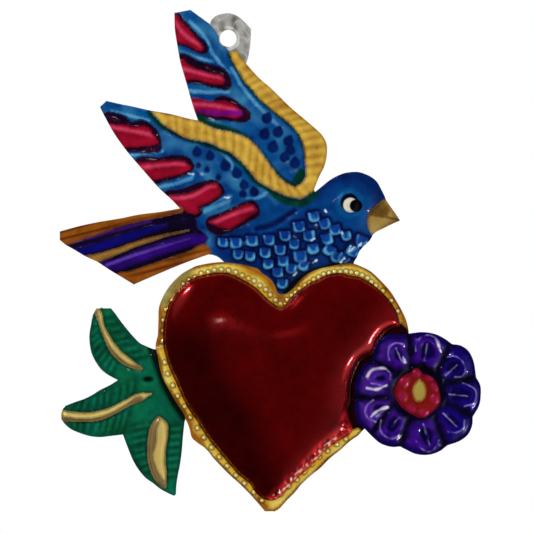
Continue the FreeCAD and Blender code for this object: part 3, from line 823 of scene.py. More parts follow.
# %% Lacquer the heart and strike its beads
GILT = ((255, 220, 80), (222, 148, 14))
HEART_FINISH = lacquer("red lacquer and gilt rim", GILT, [
    ("inner", (255, 244, 132), (248, 190, 44), 0.1, 3.0),
    # Painted shade: the rim darker brown along its cut edge.
    ("outer", (178, 116, 26), (110, 62, 8), 0.2, 2.4),
    ("pale", (226, 206, 124), (150, 128, 56), 0.3, 10.0),
    ("brown", (206, 130, 28), (140, 76, 6), 0.2, 6.0),
    # Painted highlight: the bright line across the rim's step.
    ("step", (255, 244, 190), (230, 190, 100), 0.1, 1.6),
    # Painted shade: a dark ring round each bead.
    ("bead_ring", (128, 80, 12), (84, 50, 6), 0.3, 2.2),
    # Painted highlight: the top of each bead.
    ("bead", (255, 254, 200), (255, 236, 130), 0.15, 1.6),
    # Painted shade: the flat seat beside the flower, coloured dark maroon.
    ("seat", (60, 4, 14), (22, 2, 8), 0.5, 1.5),
    ("dome", (150, 4, 8), (98, 1, 4), 0.7, 1.2),
    # Painted shade: the left and lower left of the dome darker.
    ("deep_side", (96, 1, 5), (56, 0, 3), 0.7, 9.0),
    # Painted highlight: bright red along the lower right edge of the dome.
    ("glow", (236, 40, 50), (200, 6, 16), 0.5, 6.0),
    # Painted highlights: white glints along the lower right edge of the dome.
    ("spark", (255, 226, 214), (240, 160, 150), 0.3, 1.6)],
    metal=0.15, rough=0.17, coat=0.2, hollow_darkening=2.2, cloud=1.5)
heart_presses = [(PRESS_DOTS, bead_row(path, pitch, 0.12, 11 + k), 0.7, 0.42)
                 for k, (path, pitch) in enumerate(BEAD_PATHS)]
built(heart, HEART_FINISH, heart_presses)

# %% [markdown]
# ## The bird
#
# One sheet with both wings, tail, head and beak. The body is a cushion. The feathers, the fingers
# between them and the flutes of the tail are pressed singly, the gilt edges of the wings are ribbed,
# and the breast is covered with small scales struck with a curved chisel.

# %% The bird's outline
BIRD_EDGE = flow(trace("""
    100,107* 106.5,101* 120,104 130,106 150,110.5 170,114 190,119 198,120.5* 193,106 187,85 180,60
    177.3,45 174.8,28 174.5,13* 190.5,10* 200,17 209,23.5* 214,29.5 218.7,36* 218.9,42* 221,45.4*
    226,47.9* 229.5,52.3* 238,51* 241,57 246,63.5 260,79 270,87.5 290,107 310,124 318,131 323,136.5
    326.5,144 327,152 326,160 324,167 320,175 317,182 314,190* 315,192* 320,188 330,180 337,176
    345,173 352,172 358,172 365,174 372,177.5 377,182 381,189 384,195 386,200* 390,206 395,213
    400,220.5* 390,225 382,229 376,232 373,234.5* 370,240 366,244 362,248 359,252 357,257 354,262
    353.5,268.5* 340,268.6 326,269.7 313,275.5 303,282 292,291 282,299.6* 272,291 262,282.5
    250,275.5 238,270 226,267.5* 224,262* 218,257 213,255 208.5,254.5* 190,261 170,269 150,277.5
    134,284.5* 120,276 110,270 98,262* 85,256 75,250 66,245* 60,240* 60,231.5* 80,226 100,221.8
    120,218.5 140,214.5 160,212 180,208.5* 173,201 160,189 143,170 126,150 114,133
    104,115"""), 1.0, closed=True)
BODY = flow(trace("""
    207,245 218,235.5 236,232 258,228 272,223.5 290,213.5 306,203 317,196 325,187 338,179 353,176
    368,181 377,190 377,202 369,212 367,226 366,239 358,250 350,259 338,260.3 326,261.5 314,266
    302,272.3 291,281.3 282,288 275,283 266,273.5 257,266.3 243,262 228,259.5 215,252.5"""), 1.5, closed=True)
BODY_SPINE = trace("262,249 300,243 326,229 348,207")

# %% The wings' painted and pressed parts
NEAR_GILT = flow(trace("""
    151,111.2* 160,112.5 170,114.3 190,119 198,120.7 210,127 220,130 230,132 240,135 250,140 255,145
    260,151 265,158 270,165 275,172 280,178 285,182 290,185 296,187* 300,184.5 304,181 306.5,176
    311,183 314.5,190* 308,194.5 302,198 296,198 290,197 280,193 270,188 263,184 257,180 252,174
    247,168 242,162 236,157 230,152 222,149 210,143 200,141 190,139 180,135 170,129 163,124
    156,117"""), 1.5, closed=True)
FAR_GILT = flow(trace("""
    229.5,52* 238,50* 241,56 247,62 261,78 271,86 291,106 311,123 319,130 325,135 328,144 328,152
    327,161 325,168 321,176 318,183 315,190* 306,190 299,186 304,181 306,176 306,170 305,160 305,152
    303,143 298,133 290,124 280,116 270,108 260,99 250,87 245,82 240,73 233,62"""), 1.5, closed=True)
GREENS = traces("""
    147.5,110 152,111.5 156,117 163,124 170,129 180,135 190,139 200,141 210,143 222,149 230,152 236,157
    242,162 247,168 252,174 257,180 263,184 270,188 280,193 290,197 302,199 308,195 316,188 319,192 314,200
    303,207 295,207 285,204.5 275,199 265,190 257,185.5 250,179 244,171 238,164 229,157 220,153 210,148.5
    200,145 190,142.5 180,138.5 170,133.5 160,128 153,121 | 197.5,114 210,121 220,124 230,127 240,131 247,135
    256,143 262,150.5 268,159 275,168 281,175 288,180 293,182 293,179 297,172 300,168 303.5,168.5 306,173
    304,181 300,186 296,188 290,186 284,182 279,178 272,169 264,157.5 258,148.5 250,140 240,135 230,132
    220,130 210,127 198,121.5 | 230.5,51 236,62 243,73 248,81 253,87 263,98 272,106 282,114 292,122 300,132
    305,142 307,152 307.5,161 305,161 303.5,152 301,144 296.5,134.5 289,126 279,118 269,110 258,100 249,89.5
    243,82 238,74 231,62 227.5,52""")
FEATHERS = traces("""
    174.5,15 180,20 190,31 200,43 203,48 201,51 190,46.5 177,41 174,28 | 180,60 190,66 200,70 210,73 220,75
    224,80 223,83.5 205,82 195,79 184,79 | 190,100 210,101.5 230,102.5 237,107 241,112 241,116 220,115.5
    200,112.5 193,111 | 107,124* 120,124.5 134,127 148,128 153,135* 159,143* 150,145.5 130,147 124,148*
    113,134 | 137,163* 160,161 180,160.5 185,162* 191,167* 190,170* 180,174 165,177.5 152,180* | 167,196*
    180,195 190,193 200,189 210,184 217,184* 221,189* 221,194* 214,199 205,204 198,207* 199,212* 195,214.5*
    187,213 181,209 | 209,222* 220,216.5 230,212 240,207 248,203* 254,205* 257,211* 250,216 243,221 231,229*
    222,228""")
FEATHER_SHADES = traces("""
    175,14 185,23 196,35 207,48 205,53 196,51 186,46 175,42 | 179.5,56 200,63 220,68.5 226,73 230,80 230,87
    216,87 200,83.5 184,80 | 218,98 230,98.5 240,105 250,115 247,120.5 230,120 212,118.5 195,113 192,107
    210,110 | 105,115 117,115 125,118 131,123 142,121.5 150,125 157,132 160.5,142 159,150 150,152 135,151
    126,150 | 136,161.5 160,158.5 178,156 187,158 192,163 193,168 186,174 170,179 154,182.5 | 166,193.5
    180,190.5 190,187 200,183 210,181 217,182.5 223.5,191 220,197 208,204.5 201,208 201,214 196,217 187,215 |
    207,220.5 222,213.5 240,205 250,201.5 256,204 259,213 247,222 236,228 225,233 218,234 209,229""")
FINGERS = list(zip(traces("""
    128,154 145,152 163,149.5 | 158,186 176,182 193,176 | 203,209 217,203 230,197.5 | 110,110 128,114 146,119
    157,128 | 179,48 190,54 205,60 | 187,89 205,91 228,90 | 190,20 203,34 211,50 228,72"""),
                   [4, 5, 4.5, 5, 4, 5, 6]))
FOLDS = traces("""
    170,16 186,36 202,46 | 178,68 200,73 224,78 | 190,104 216,106 242,112 | 108,127 132,131 156,136 | 136,169
    164,165 190,163 | 166,198 192,196 208,187 220,185 | 208,225 232,215 256,207""")
DROPS = trace("""
    267.5,117,5,25 265,133,5.2,20 278.5,131,5,20 273,146,5.2,15 289,140,4.8,25 290.5,149,4.6,10 285,156,4.8,15
    295,162,5,0 197,151,4.4,-5 210,155,4.4,-10 198.5,165,2.6,0 207,169,2.8,-5 225,164.5,5,-15 218.5,177,2.8,0
    236.5,172,5,-20 244,184,4.4,-10 243,193,3.6,0 254,191,4.2,-15""")

# %% The tail, the head and the breast
TAIL = flow(trace("""
    58,229 80,224 100,219.5 120,216.5 140,212 160,210 182,206* 187,212 193,214 197,220 198.5,228
    204,232 208,238 206,244 211,252 209,257* 170,271 134,287 110,272 75,252 56,241"""), 1.5, closed=True)
TAIL_LINES = traces("""
    64,244.5 90,237 110,230 120,226 140,221 160,217 175,213.5 183,211 | 84,258.5 97,254.3 114,249.5 128,244.6
    141.5,240.3 155,236.8 170.6,233.3 189,230.2* | 94,263 108.5,258 124,251.4 137.5,245.6 151,241.3 166.7,236
    188,230.8* | 116,276 130,271.5 150,265 170,258 190,251 205,244""")
ORANGE = [TAIL_LINES[0] + trace("180,206 160,209 120,215 80,223 56,229 56,243"),
          TAIL_LINES[3] + trace("209,247 213,252 209,257 170,271 134,288 118,278")]
THIN_GILT = TAIL_LINES[1] + TAIL_LINES[2][::-1]
VIOLET = trace("""
    101,265 118,259.2 137.5,251.4 157,244.6 176.5,238.8 198,234.9 207,237 206,241 190,245.5 170.6,251
    151,257.5 131.7,264 112,270""")
BEAK = trace("386,199 393,208 401,220.5 388,227 373,235 368.5,228 367.5,220 369.5,212 374,207.5 380,202.5")
BEAK_TOP = (387, 217.5)
BEAK_SHADE = trace("384,200 369,211 369,215 387,217.5 390,210")
EYE, EYE_SIZE = (350.4, 205.2), 7.3
PUPIL, PUPIL_SIZE = (355.9, 205.8), 6.4
FOOT_SHADE = trace("""
    284,300 283,291 288,284.5 295,278 303,273 312,268.5 322,265.5 334,262.5 350,262 360,263 360,272 335,273
    310,279 294,292""")
SCALES = trace("""
    314,217,-10,1 324.5,224,-15,1 335,230,-15,1 346,236,-12,0.9 361,241,20,1.1 299,227,-8,1.05 309,236,-8,1.05
    327,239,-12,1.05 285,236,-4,1 269,240,0,1 252,241,0,1.05 236,243,0,1.05 223,242.5,4,0.9 294,244,-3,0.9
    280,250,0,1 265,253,2,1 250,256,4,0.9 238,254.5,4,0.9 313,249,-8,1 329,250,30,1 336,257,35,1
    353,251,25,1.2 343,259,35,1 268,264,4,0.9 283,261,0,1 300,257,-5,1.2 303,265,20,1 277.5,272.5,0,0.95
    291,268.5,5,1 282.5,284,0,0.95""")
SCALE_SHAPE = trace("-4.4,-3.6 -4.2,0.8 -3.4,3 -1.6,4 0.2,4.2 2.4,3.9 3.8,2.8 4.3,0 4.4,-3.6")
BELLY = trace("""
    214,238 240,234 280,230 296,220 310,209 330,218 350,230 366,234 362,246 352,258 330,262 310,268 292,282
    283,292 262,274 240,262 220,256""")
# Painted highlights: light cyan streaks along the wings' fingers and edges.
PAINTED_SHEENS = traces("""
    188,91 206,92.5 228,92 | 181,53 195,57.5 212,62 | 128,156 146,154 162,151 | 160,187 176,184 191,178.5 |
    204,212 218,206 229,201 | 190,22 204,36 212,52 228,74 | 232,68 243,88 262,110 281,128 | 112,112 130,116
    148,121 | 248,199 262,196 268,190 | 206,139 228,158 236,178""")
GLINTS = traces("""
    339.8,203 340,198 342.5,193.5 | 348,253 354,249.5 361,246 | 349.5,263 353,259.5 | 213,203 224,197.5
    230,197 232,200 228,203 | 178,177.5 188,173 193,174 192,178 186,181""")
# Painted highlights: small white sparkles on the head, the breast and the wing.
PAINTED_SPARKLES = traces("""
    325.3,210.3 325.9,212 | 341.8,232 342.4,233.5 | 311.5,240.5 314,239 | 340.5,262.5 344.5,258 | 349,251.5
    354.5,247 | 293.5,275.5 296.5,273 | 313,262.5 316.5,260 | 358.5,246.5 361,243.5 | 224,198 230,197 |
    189,173.7 193,174.5""")

# %% Press the bird
BODY_HEIGHT = 1.38
BIRD_CLIP = 1.7
bird = Sheet("bird", BIRD_EDGE, 1.22,
             fine=[(BODY, 0.86), (NEAR_GILT, 0.95), (FAR_GILT, 0.95), (TAIL, 0.95)])
p = bird.p
in_body = np.clip(depth_in(p, BODY), 0, 99)
off_spine = away(p, BODY_SPINE)
share = off_spine / (off_spine + in_body + 0.001)
bird.h = bird.softened(BODY_HEIGHT * (1 - share**4), 24)
in_feather, in_shade = within(p, FEATHERS), within(p, FEATHER_SHADES)
bird.h += 0.26 * swell(np.clip(in_feather + 1, 0, 9), 5)
for line, half in FINGERS:
    gap = away(p, flow(line), 14)
    bird.h += np.clip(-in_shade / 3, 0, 1) * 0.28 * swell(np.clip(half - gap, 0, 9), 5)
for line in FOLDS:
    bird.h += 0.14 * ridge(away(p, flow(line), 9), 3.5) * np.clip(in_feather / 2, 0, 1)
drop = np.full(len(p), -9.0)
for x, y, size, lean in DROPS:
    up = np.array([math.sin(math.radians(lean)), -math.cos(math.radians(lean))])
    for part in np.linspace(0, 0.8, 5):
        middle = (x, y) + up * size * (1.5 * part - 0.3)
        drop = np.maximum(drop, size * (1.1 - part) - from_dot(p, middle))
bird.h -= 0.26 * np.clip((drop + 0.5) / 4, 0, 1)

# %% Press the tail, the gilt edges, the eye and the beak
in_tail = depth_in(p, TAIL, 20)
furrow = nearest(p, TAIL_LINES, 14)
bird.h += 0.45 * swell(furrow + 1, 7) * np.clip(in_tail / 3 + 0.2, 0, 1)
in_gilt = np.maximum(depth_in(p, NEAR_GILT, 14), depth_in(p, FAR_GILT, 14))
bird.h += 0.3 * swell(np.clip(in_gilt, 0, 9), 4) - 0.12 * ridge(np.abs(in_gilt + 2), 2.5)
in_eye = EYE_SIZE - from_dot(p, EYE)
bird.h += 0.3 * swell(np.clip(in_eye, 0, 9), 5) - 0.15 * ridge(np.abs(in_eye + 2), 3)
in_beak = within(p, [BEAK], 20)
corners = np.array(BEAK)
slope = np.full(len(p), 9.0)
for a, b in zip(corners, np.roll(corners, -1, 0)):
    along = (b - a) / np.linalg.norm(b - a)
    normal = np.array([-along[1], along[0]])
    slope = np.minimum(slope, (p - a) @ normal / ((np.array(BEAK_TOP) - a) @ normal))
bird.h += 0.85 * np.clip(slope, 0, 1) * (in_beak > -1) - 0.2 * ridge(np.abs(in_beak), 2) * (p[:, 0] < 384)
crease = nearest(p, "257,229 270,225.5 281,220 294,211.5", 14)
bird.h -= 0.3 * ridge(crease, 4)
loose = np.clip(away(p, [(226, 262), (282, 300), (354, 266)], 40) / 30, 0, 1)
bird.h += loose * (0.10 * (1 + wander(p, 45, 21)) + 0.045 * (1 + wander(p, 14, 22)))
tail_share = np.clip(0.5 + in_tail / 6, 0, 1)
bird.h = tail_share * bird.softened(bird.h, 22) + (1 - tail_share) * bird.softened(bird.h, 5)
bird.h = np.clip(bird.h, 0, BIRD_CLIP)

# %% Note where the bird is painted
in_cup, on_lip = np.full(len(p), -9.0), np.full(len(p), 9.0)
for x, y, turn, size in SCALES:
    c, s = math.cos(math.radians(turn)) / size, math.sin(math.radians(turn)) / size
    near = np.flatnonzero(from_dot(p, (x, y)) < 12)
    local = (p[near] - [x, y]) @ np.array([[c, -s], [s, c]])
    in_cup[near] = np.maximum(in_cup[near], depth_in(local, np.array(SCALE_SHAPE), 9))
    # The painted highlight on each scale's lip fades up its arms.
    fading = 0.24 * np.clip(2 - local[:, 1], 0, 6)
    on_lip[near] = np.minimum(on_lip[near], away(local, SCALE_SHAPE, 9) + fading)
in_green = within(p, GREENS)
in_orange = np.minimum(within(p, ORANGE), in_tail)
past_root = np.clip(p[:, 0] - 130, 0, 99)
streaky = (p - [58, 235]) @ np.array([[0.045, 0.26], [-0.012, 0.97]])
beak_line = 0.8 - away(p, [(369.7, 214), (385, 217), (399, 220)], 9)
bird.marks = {
    "feather": in_feather, "shade": in_shade + 0.8, "drop": drop, "gilt": in_gilt,
    "green": np.where(in_gilt > 0, np.minimum(in_green, -in_gilt), in_green),
    "tail": in_tail, "orange": in_orange,
    "thin_gilt": np.minimum(within(p, [THIN_GILT]), in_tail), "violet": within(p, [VIOLET]),
    "navy": 3.2 - nearest(p, "80,252 110,243.5 140,233 166,225", 9) - past_root / 16,
    "purple": 1.0 - nearest(p, "66,243 90,237.5 118,229.5 150,221", 9),
    # Painted highlight: a light violet line along the tail's violet flute.
    "shine": 0.8 - nearest(p, "107,265 140,253.5 190,238.5", 9) - past_root / 40,
    "streak": np.minimum(2.5 * wander(streaky, 7, 28) - 1, in_orange - 1),
    "beak": in_beak, "white": in_eye, "pupil": PUPIL_SIZE - from_dot(p, PUPIL),
    # Painted highlight: lighter blue round the eye.
    "halo": 12.5 - from_dot(p, (349.6, 203)), "ring": 9.2 - from_dot(p, (349.4, 202.6)),
    "beak_shade": np.minimum(in_beak, np.maximum(depth_in(p, np.array(BEAK_SHADE), 20), beak_line)),
    "nape": 9 - nearest(p, "316,194 330,182 350,175 368,178 380,190", 20),
    # Painted shadow: a dark band on the bird along the heart's rim.
    "foot": within(p, [FOOT_SHADE]), "belly": within(p, [BELLY], 20),
    # Painted shadow: a dark ring round each scale.
    "cup": in_cup, "under": 1.6 - np.abs(in_cup + 2.0),
    # Painted highlight: the light cyan lip of each scale, and the glint lines.
    "lip": 0.35 - 1.4 * wander(p, 12, 29) - np.minimum(on_lip, nearest(p, GLINTS, 9)),
    # Painted highlights: small white sparkles on the head, the breast and the wing.
    "spark": 0.3 - nearest(p, PAINTED_SPARKLES, 9) + 0.5 * wander(p, 6, 30),
    # Painted highlights: light cyan streaks along the wings' fingers and edges.
    "sheen": np.where(in_shade < -1.5, 0.9 - nearest(p, PAINTED_SHEENS, 9), -9),
    # Painted highlight: a light pink streak along the fold of each feather.
    "fold": np.minimum(0.9 - nearest(p, FOLDS, 9), in_feather - 1.5),
    "magenta": np.minimum(2.0 - away(p, [(200, 112), (220, 113.5), (240, 113)], 9), in_feather),
    "mottle": 6 * wander(p, 26, 27) - 9 + np.clip(off_spine - 36, -20, 6),
    # Painted shade: darker blue in the crease between wing and body.
    "crease": 2.6 - crease, "wing": np.clip(off_spine - 42, -20, 20) / 3}
print("painted patches on the bird:", len(bird.marks))

# %% Lacquer the bird, rib its wings and strike its scales
BLUE = ((0, 92, 172), (0, 34, 116))
BIRD_FINISH = lacquer("blue lacquer, gilt edges and red feathers", BLUE, [
    ("wing", (6, 106, 182), (0, 46, 134), 0.35, 5.0),
    ("mottle", (70, 156, 200), (6, 86, 164), 0.25, 9.0),
    # Painted highlights: light cyan streaks along the wings' fingers and edges.
    ("sheen", (116, 200, 236), (16, 110, 196), 0.2, 3.2),
    ("drop", (0, 44, 124), (0, 16, 80), 0.3, 2.0),
    # Painted shade: darker blue in the crease between wing and body.
    ("crease", (0, 44, 124), (0, 14, 74), 0.3, 3.0),
    ("nape", (0, 60, 142), (0, 22, 92), 0.3, 9.0),
    ("belly", (0, 60, 150), (0, 22, 92), 0.3, 6.0),
    # Painted shadow: a dark ring round each scale.
    ("under", (0, 22, 90), (0, 6, 48), 0.3, 2.6),
    ("cup", (16, 90, 192), (0, 36, 132), 0.3, 3.0),
    # Painted highlight: the light cyan lip of each scale, and the glint lines.
    ("lip", (92, 190, 238), (6, 78, 180), 0.2, 2.6),
    ("shade", (52, 2, 44), (18, 0, 24), 0.3, 1.6),
    ("feather", (204, 14, 58), (128, 2, 24), 0.3, 1.2),
    # Painted highlight: a light pink streak along the fold of each feather.
    ("fold", (240, 84, 124), (200, 20, 68), 0.15, 4.0),
    ("magenta", (190, 20, 190), (120, 0, 130), 0.5, 3.0),
    ("tail", (26, 8, 56), (8, 3, 18), 0.3, 1.2),
    ("navy", (20, 16, 156), (2, 0, 84), 0.4, 4.0),
    ("purple", (96, 36, 160), (50, 8, 96), 0.4, 2.4),
    ("orange", (196, 112, 26), (122, 58, 6), 0.3, 1.2),
    ("streak", (136, 60, 10), (90, 34, 4), 0.3, 3.0),
    ("thin_gilt", (206, 152, 68), (132, 86, 26), 0.3, 1.2),
    ("violet", (70, 14, 168), (24, 0, 84), 0.4, 3.0),
    # Painted highlight: a light violet line along the tail's violet flute.
    ("shine", (140, 96, 226), (86, 40, 190), 0.4, 2.6),
    ("green", (0, 84, 66), (0, 34, 32), 0.4, 1.2),
    ("gilt", (246, 202, 80), (168, 104, 16), 0.2, 1.0),
    ("beak", (216, 180, 100), (150, 112, 40), 0.3, 1.0),
    ("beak_shade", (150, 112, 44), (92, 66, 20), 0.3, 1.6),
    # Painted shadow: a dark band on the bird along the heart's rim.
    ("foot", (6, 30, 44), (0, 8, 14), 0.3, 1.6),
    # Painted highlight: lighter blue round the eye.
    ("halo", (16, 124, 192), (0, 84, 162), 0.3, 9.0),
    ("ring", (0, 12, 54), (0, 3, 30), 0.2, 1.5),
    ("white", (238, 232, 216), (214, 206, 186), 0.0, 1.0),
    ("pupil", (3, 3, 8), (1, 1, 4), 0.0, 1.0),
    # Painted highlights: small white sparkles on the head, the breast and the wing.
    ("spark", (244, 252, 255), (170, 222, 248), 0.0, 1.4)],
    metal=0.35, rough=0.22, coat=0.3, hollow_darkening=3.2, cloud=1.4)
far_ribs = ribs(trace("243,58 262,80 290,106 316,130 325,146 324,160 316,182"),
                trace("236,64 251,88 280,116 300,136 306,154 306,168 303,184"), 17, 7)
near_ribs = ribs(trace("155,113 180,117 198,121 220,130 243,136 258,150 275,172 291,186 304,184"),
                 trace("160,121 184,136 203,141 226,150 246,165 262,183 281,193 297,197 311,191"), 17, 8)
bird_presses = [
    (PRESS_LINES, far_ribs, 1.35, 0.2), (PRESS_LINES, near_ribs, 1.35, 0.2),
    (PRESS_TILES, stamps(SCALES, SCALE_SHAPE, filled=True), 0.5, 0.18),
    (PRESS_LINES, stamps(SCALES, SCALE_SHAPE), 0.5, 0.2)]
built(bird, BIRD_FINISH, bird_presses)

# %% [markdown]
# ## The sprig
#
# Three leaves on one sheet that meet behind the rim of the heart. Each has a raised gilt midrib and
# a row of soft veins on either side.

# %% The sprig's lines
SPRIG_EDGE = flow(trace("""
    96.5,308.4* 111,308.2* 115,313 120,320 127,329 133,336 140,343 146,346 152.5,348.8* 160.5,350*
    168.5,382 178,400 187,414.5* 184.6,422* 183,437 182,450 180,465 178,475 176.5,485 176,494.3*
    174,495.7* 168,493 160,488.5 153,483 146,478 139,470 133,460 128,448 125,440 123,434.5* 110,436
    100,437 90,436 80,433 71,429 65,424 61.5,419.2* 61.5,413 63,409 66,405.5* 75,402 85,398.5 92,395
    100,390 110,385 118,380* 113,377.5 107,374 101,369 96,362 92,354 90,345 89.5,335 91,325
    93,315"""), 0.8, closed=True)
MIDRIBS = traces("""
    96.5,308.5 99.5,323 104,336 110.5,350.5 120,361 129.5,366.5 142,369* 131.5,360 120.5,351 111,339 104,326.5
    100,311 | 62,410.5* 73.5,412.4 92,412.6 109,408.6 124,401.2 139,393.8 151.5,393.6* 142.5,399.3 129.5,405
    114.6,413.3 101.6,419 88.5,421 73.5,420.5 62,420.3* | 159.5,416.5* 166.8,423.6 167.7,433 165.5,448
    165,462.5 166,474 165.5,487.5* 155.6,479.5 150,466.5 148,451.5 149,436.5 152.8,423.6""")
MIDRIB_HALVES = traces("""
    96.5,308 99.5,323 104,336 110.5,350.5 120,361 129.5,366.5 142,369 128,362.5 117,353 108,341 102,327 98,312
    | 62,417 76,417.5 92,417.5 106,414 122,406 142,396 142.5,399.3 129.5,405 114.6,413.3 101.6,419 88.5,421
    73.5,420.5 62,420.3 | 159.5,417 157.5,430 156.6,444 153.8,455 158,470 165,487 155.6,479.5 150,466.5
    148,451.5 149,436.5 152.8,423.6""")
VEINS = list(zip(traces("""
    104,318 112,334 122,347 134,359 | 97,325 101,338 108,350 118,362 | 72,409 92,409 112,403 134,393 | 70,422
    90,421 110,416 132,405 | 155,421 150,436 148,452 152,472 | 168,426 168,442 167,460 166,478"""), traces("""
    113,317 125,333 136,345 149,356 | 90,330 92,347 99,363 112,375 | 76,404 96,395 116,386 136,378 | 72,427
    84,433 104,435 124,431 | 131,425 129,441 134,458 145,474 | 184,424 182,440 180,458 177,476"""),
                 [6, 7, 8, 8, 7, 7]))

# %% Press and lacquer the sprig
SPRIG_CLIP = 0.8
sprig = Sheet("leaf_sprig", SPRIG_EDGE, 0.86)
p = sprig.p
in_rib = within(p, MIDRIBS)
sprig.h = 0.75 * swell(np.clip(in_rib, 0, 9), 5) - 0.1 * ridge(np.abs(in_rib + 1.5), 2.5)
edge_gap = away(p, looped(SPRIG_EDGE), 20)
sprig.h += 0.2 * swell(edge_gap, 8)
dimple = np.linalg.norm((p - [148, 379]) * [0.7, 1.3], axis=1)
sprig.h -= 0.4 * ridge(dimple, 7)
fold = nearest(p, [MIDRIB_HALVES[2][:6]], 12)
sprig.h += 0.22 * ridge(fold, 5) * (in_rib > 0)
sprig.h += 0.07 * (1 + wander(p, 30, 31)) + 0.03 * (1 + wander(p, 9, 32))
sprig.h = np.clip(sprig.softened(sprig.h, 5), 0, SPRIG_CLIP)
streaks = []
for inner, outer, count in VEINS:
    ends = [flow(side)[np.linspace(0, len(flow(side)) - 1, count + 1).astype(int)] for side in (inner, outer)]
    streaks += [away(p, pair, 9) for pair in zip(*ends)]
sprig.marks = {
    "vein": 1.2 - np.min(streaks, 0) + 1.6 * wander(p, 22, 34), "gilt": in_rib, "rim": 1.2 - edge_gap,
    # Painted shade: the leaf's pressed dimple darkened.
    "dimple": 3.4 - dimple, "shade": in_rib + 1.0, "moss": 4 * wander(p, 34, 33) - 2,
    "shadow": 4.4 - nearest(p, "152,347 158,364 164.5,382 173,399 184,416", 12),
    "half": within(p, MIDRIB_HALVES)}
LEAF_FINISH = lacquer("green lacquer and gilt midribs", ((0, 150, 106), (0, 66, 52)), [
    ("moss", (14, 126, 60), (0, 58, 22), 0.3, 6.0),
    ("vein", (0, 96, 68), (0, 40, 32), 0.3, 5.5),
    ("shade", (0, 70, 56), (0, 34, 34), 0.3, 3.0),
    # Painted shade: the leaf's pressed dimple darkened.
    ("dimple", (0, 40, 32), (0, 12, 10), 0.4, 3.0),
    ("rim", (0, 110, 84), (0, 60, 46), 0.3, 3.0),
    ("shadow", (0, 36, 24), (0, 12, 10), 0.3, 4.0),
    ("gilt", (255, 230, 136), (218, 182, 88), 0.3, 1.0),
    ("half", (158, 130, 82), (108, 86, 48), 0.3, 1.2)],
    metal=0.35, rough=0.26, coat=0.4, hollow_darkening=4.0, cloud=0.9)
sprig_presses = [(PRESS_LINES, ribs(inner, outer, count, 40 + k, 0.3), 0.95, 0.15)
                 for k, (inner, outer, count) in enumerate(VEINS)]
built(sprig, LEAF_FINISH, sprig_presses)

# %% [markdown]
# ## The flower
#
# Nine petals pressed in a ring. Each petal is a swelling with a dished middle, a fine ridge round
# the dish and a crease down it. The valleys between the petals and the ring round the centre are
# painted nearly black, as painted shade.

# %% The flower's lines
FLOWER_EDGE = flow(trace("""
    409,333.4 423,332 436,334.3 445,339 452,344* 460.5,345.4 468,350.6 473,360 476,377.4* 480,385
    480.6,394.6 479,405 472.5,416.6* 472,425 468,434 460,440.5 447,445.3* 439.5,451 429,454.5
    416.5,454 407,450 400,446.3* 392,446.8 380,443 372.5,436.7 364,428* 358,421 355,412 354.5,404
    356,398* 355,388 357,378 362,368 369,361* 373,355 376,345 382,338 390,334.5
    400,334.5"""), 0.8, closed=True)
FLOWER_MIDDLE = np.array([418.0, 392.0])
PETAL_RIDGES = traces("""
    389,360 388,354 389.5,347 395,343 404,344.5 | 415.6,351 416,344 420,338 427,335 434,337 438.5,342
    439.5,350 | 447,357 454,356 460,359 464,365 465,371 462,376 454,377 | 463,383 470,386 475,390 476,396
    473,403 464,406 | 464,420 463,427 457,432 448,431.5 | 416,441 421,448 429,451.5 436,446 438.5,440 |
    381,420 380,429 385,436 392,438.5 399,434 | 373,400 367,405 365,412 368,418 374,421 | 368,379 369,373
    375,369 384,368.5 390,373 390,379""")
PETAL_CREASES = traces("""
    395.5,348 402,362 | 427,344 424,360 | 456.5,365 445,375.5 | 449,394 467,396 | 443,413 456,426 | 423,424
    429,444 | 399,417 391,426 | 388,407 376,416 | 386,386 371,383""")
PETAL_GLINTS = traces("""
    367,376 371,370.5 379,367.5 386,369 | 367,388 373,389.5 380,388 386,385 | 371,416 377,411 387,407 |
    403,357 405,362 | 436,340 440,350""")
VALLEYS = traces("""
    411,366 409,334 | 438,372 450,344 | 446,383 477,377 | 447,404 473,416 | 436,419 446,446 | 409,421 400,447
    | 391,408 372,432 | 386,397 355,398 | 394,372 372,360""")
DISHES = traces("""
    391,350 397,346 402,349 404,360 394,361 | 418,346 423,340 431,340 436,346 436,358 419,359 | 450,360
    458,360 461,366 459,372 450,374 445,370 | 450,386 466,387 472,392 471,400 464,403 450,402 | 446,412
    458,417 460,425 454,428 444,422 | 417,428 430,426 435,436 430,447 422,444 | 386,421 394,414 402,421
    396,432 388,433 384,427 | 371,404 384,402 388,408 378,417 371,414 | 372,376 379,372 387,374 387,382
    373,381""")

# %% Press and lacquer the flower
PETAL_HEIGHT = 0.84
FLOWER_CLIP = 1.1
flower = Sheet("flower", FLOWER_EDGE, 0.62)
p = flower.p
radius = from_dot(p, FLOWER_MIDDLE)
edge_gap = away(p, looped(FLOWER_EDGE), 30)
valley = nearest(p, VALLEYS, 30)
room = np.minimum(np.minimum(valley * 0.9, np.clip(radius - 22, 0, 99)), np.clip(edge_gap - 1, 0, 99))
flower.h = PETAL_HEIGHT * swell(room, 11) * np.clip(1.1 - 0.1 * np.abs(wander(p, 20, 51)), 0.8, 1.1)
dish = within(p, DISHES)
flower.h -= 0.5 * swell(np.clip(dish, 0, 9), 5.5)
fine_ridge, petal_crease = nearest(p, PETAL_RIDGES, 12), nearest(p, PETAL_CREASES, 12)
flower.h += 0.24 * ridge(fine_ridge, 2.6) + 0.24 * ridge(petal_crease, 1.9)
flower.h += 0.05 * (1 + wander(p, 11, 52))
flower.h = np.clip(flower.softened(flower.h, 5), 0, FLOWER_CLIP)
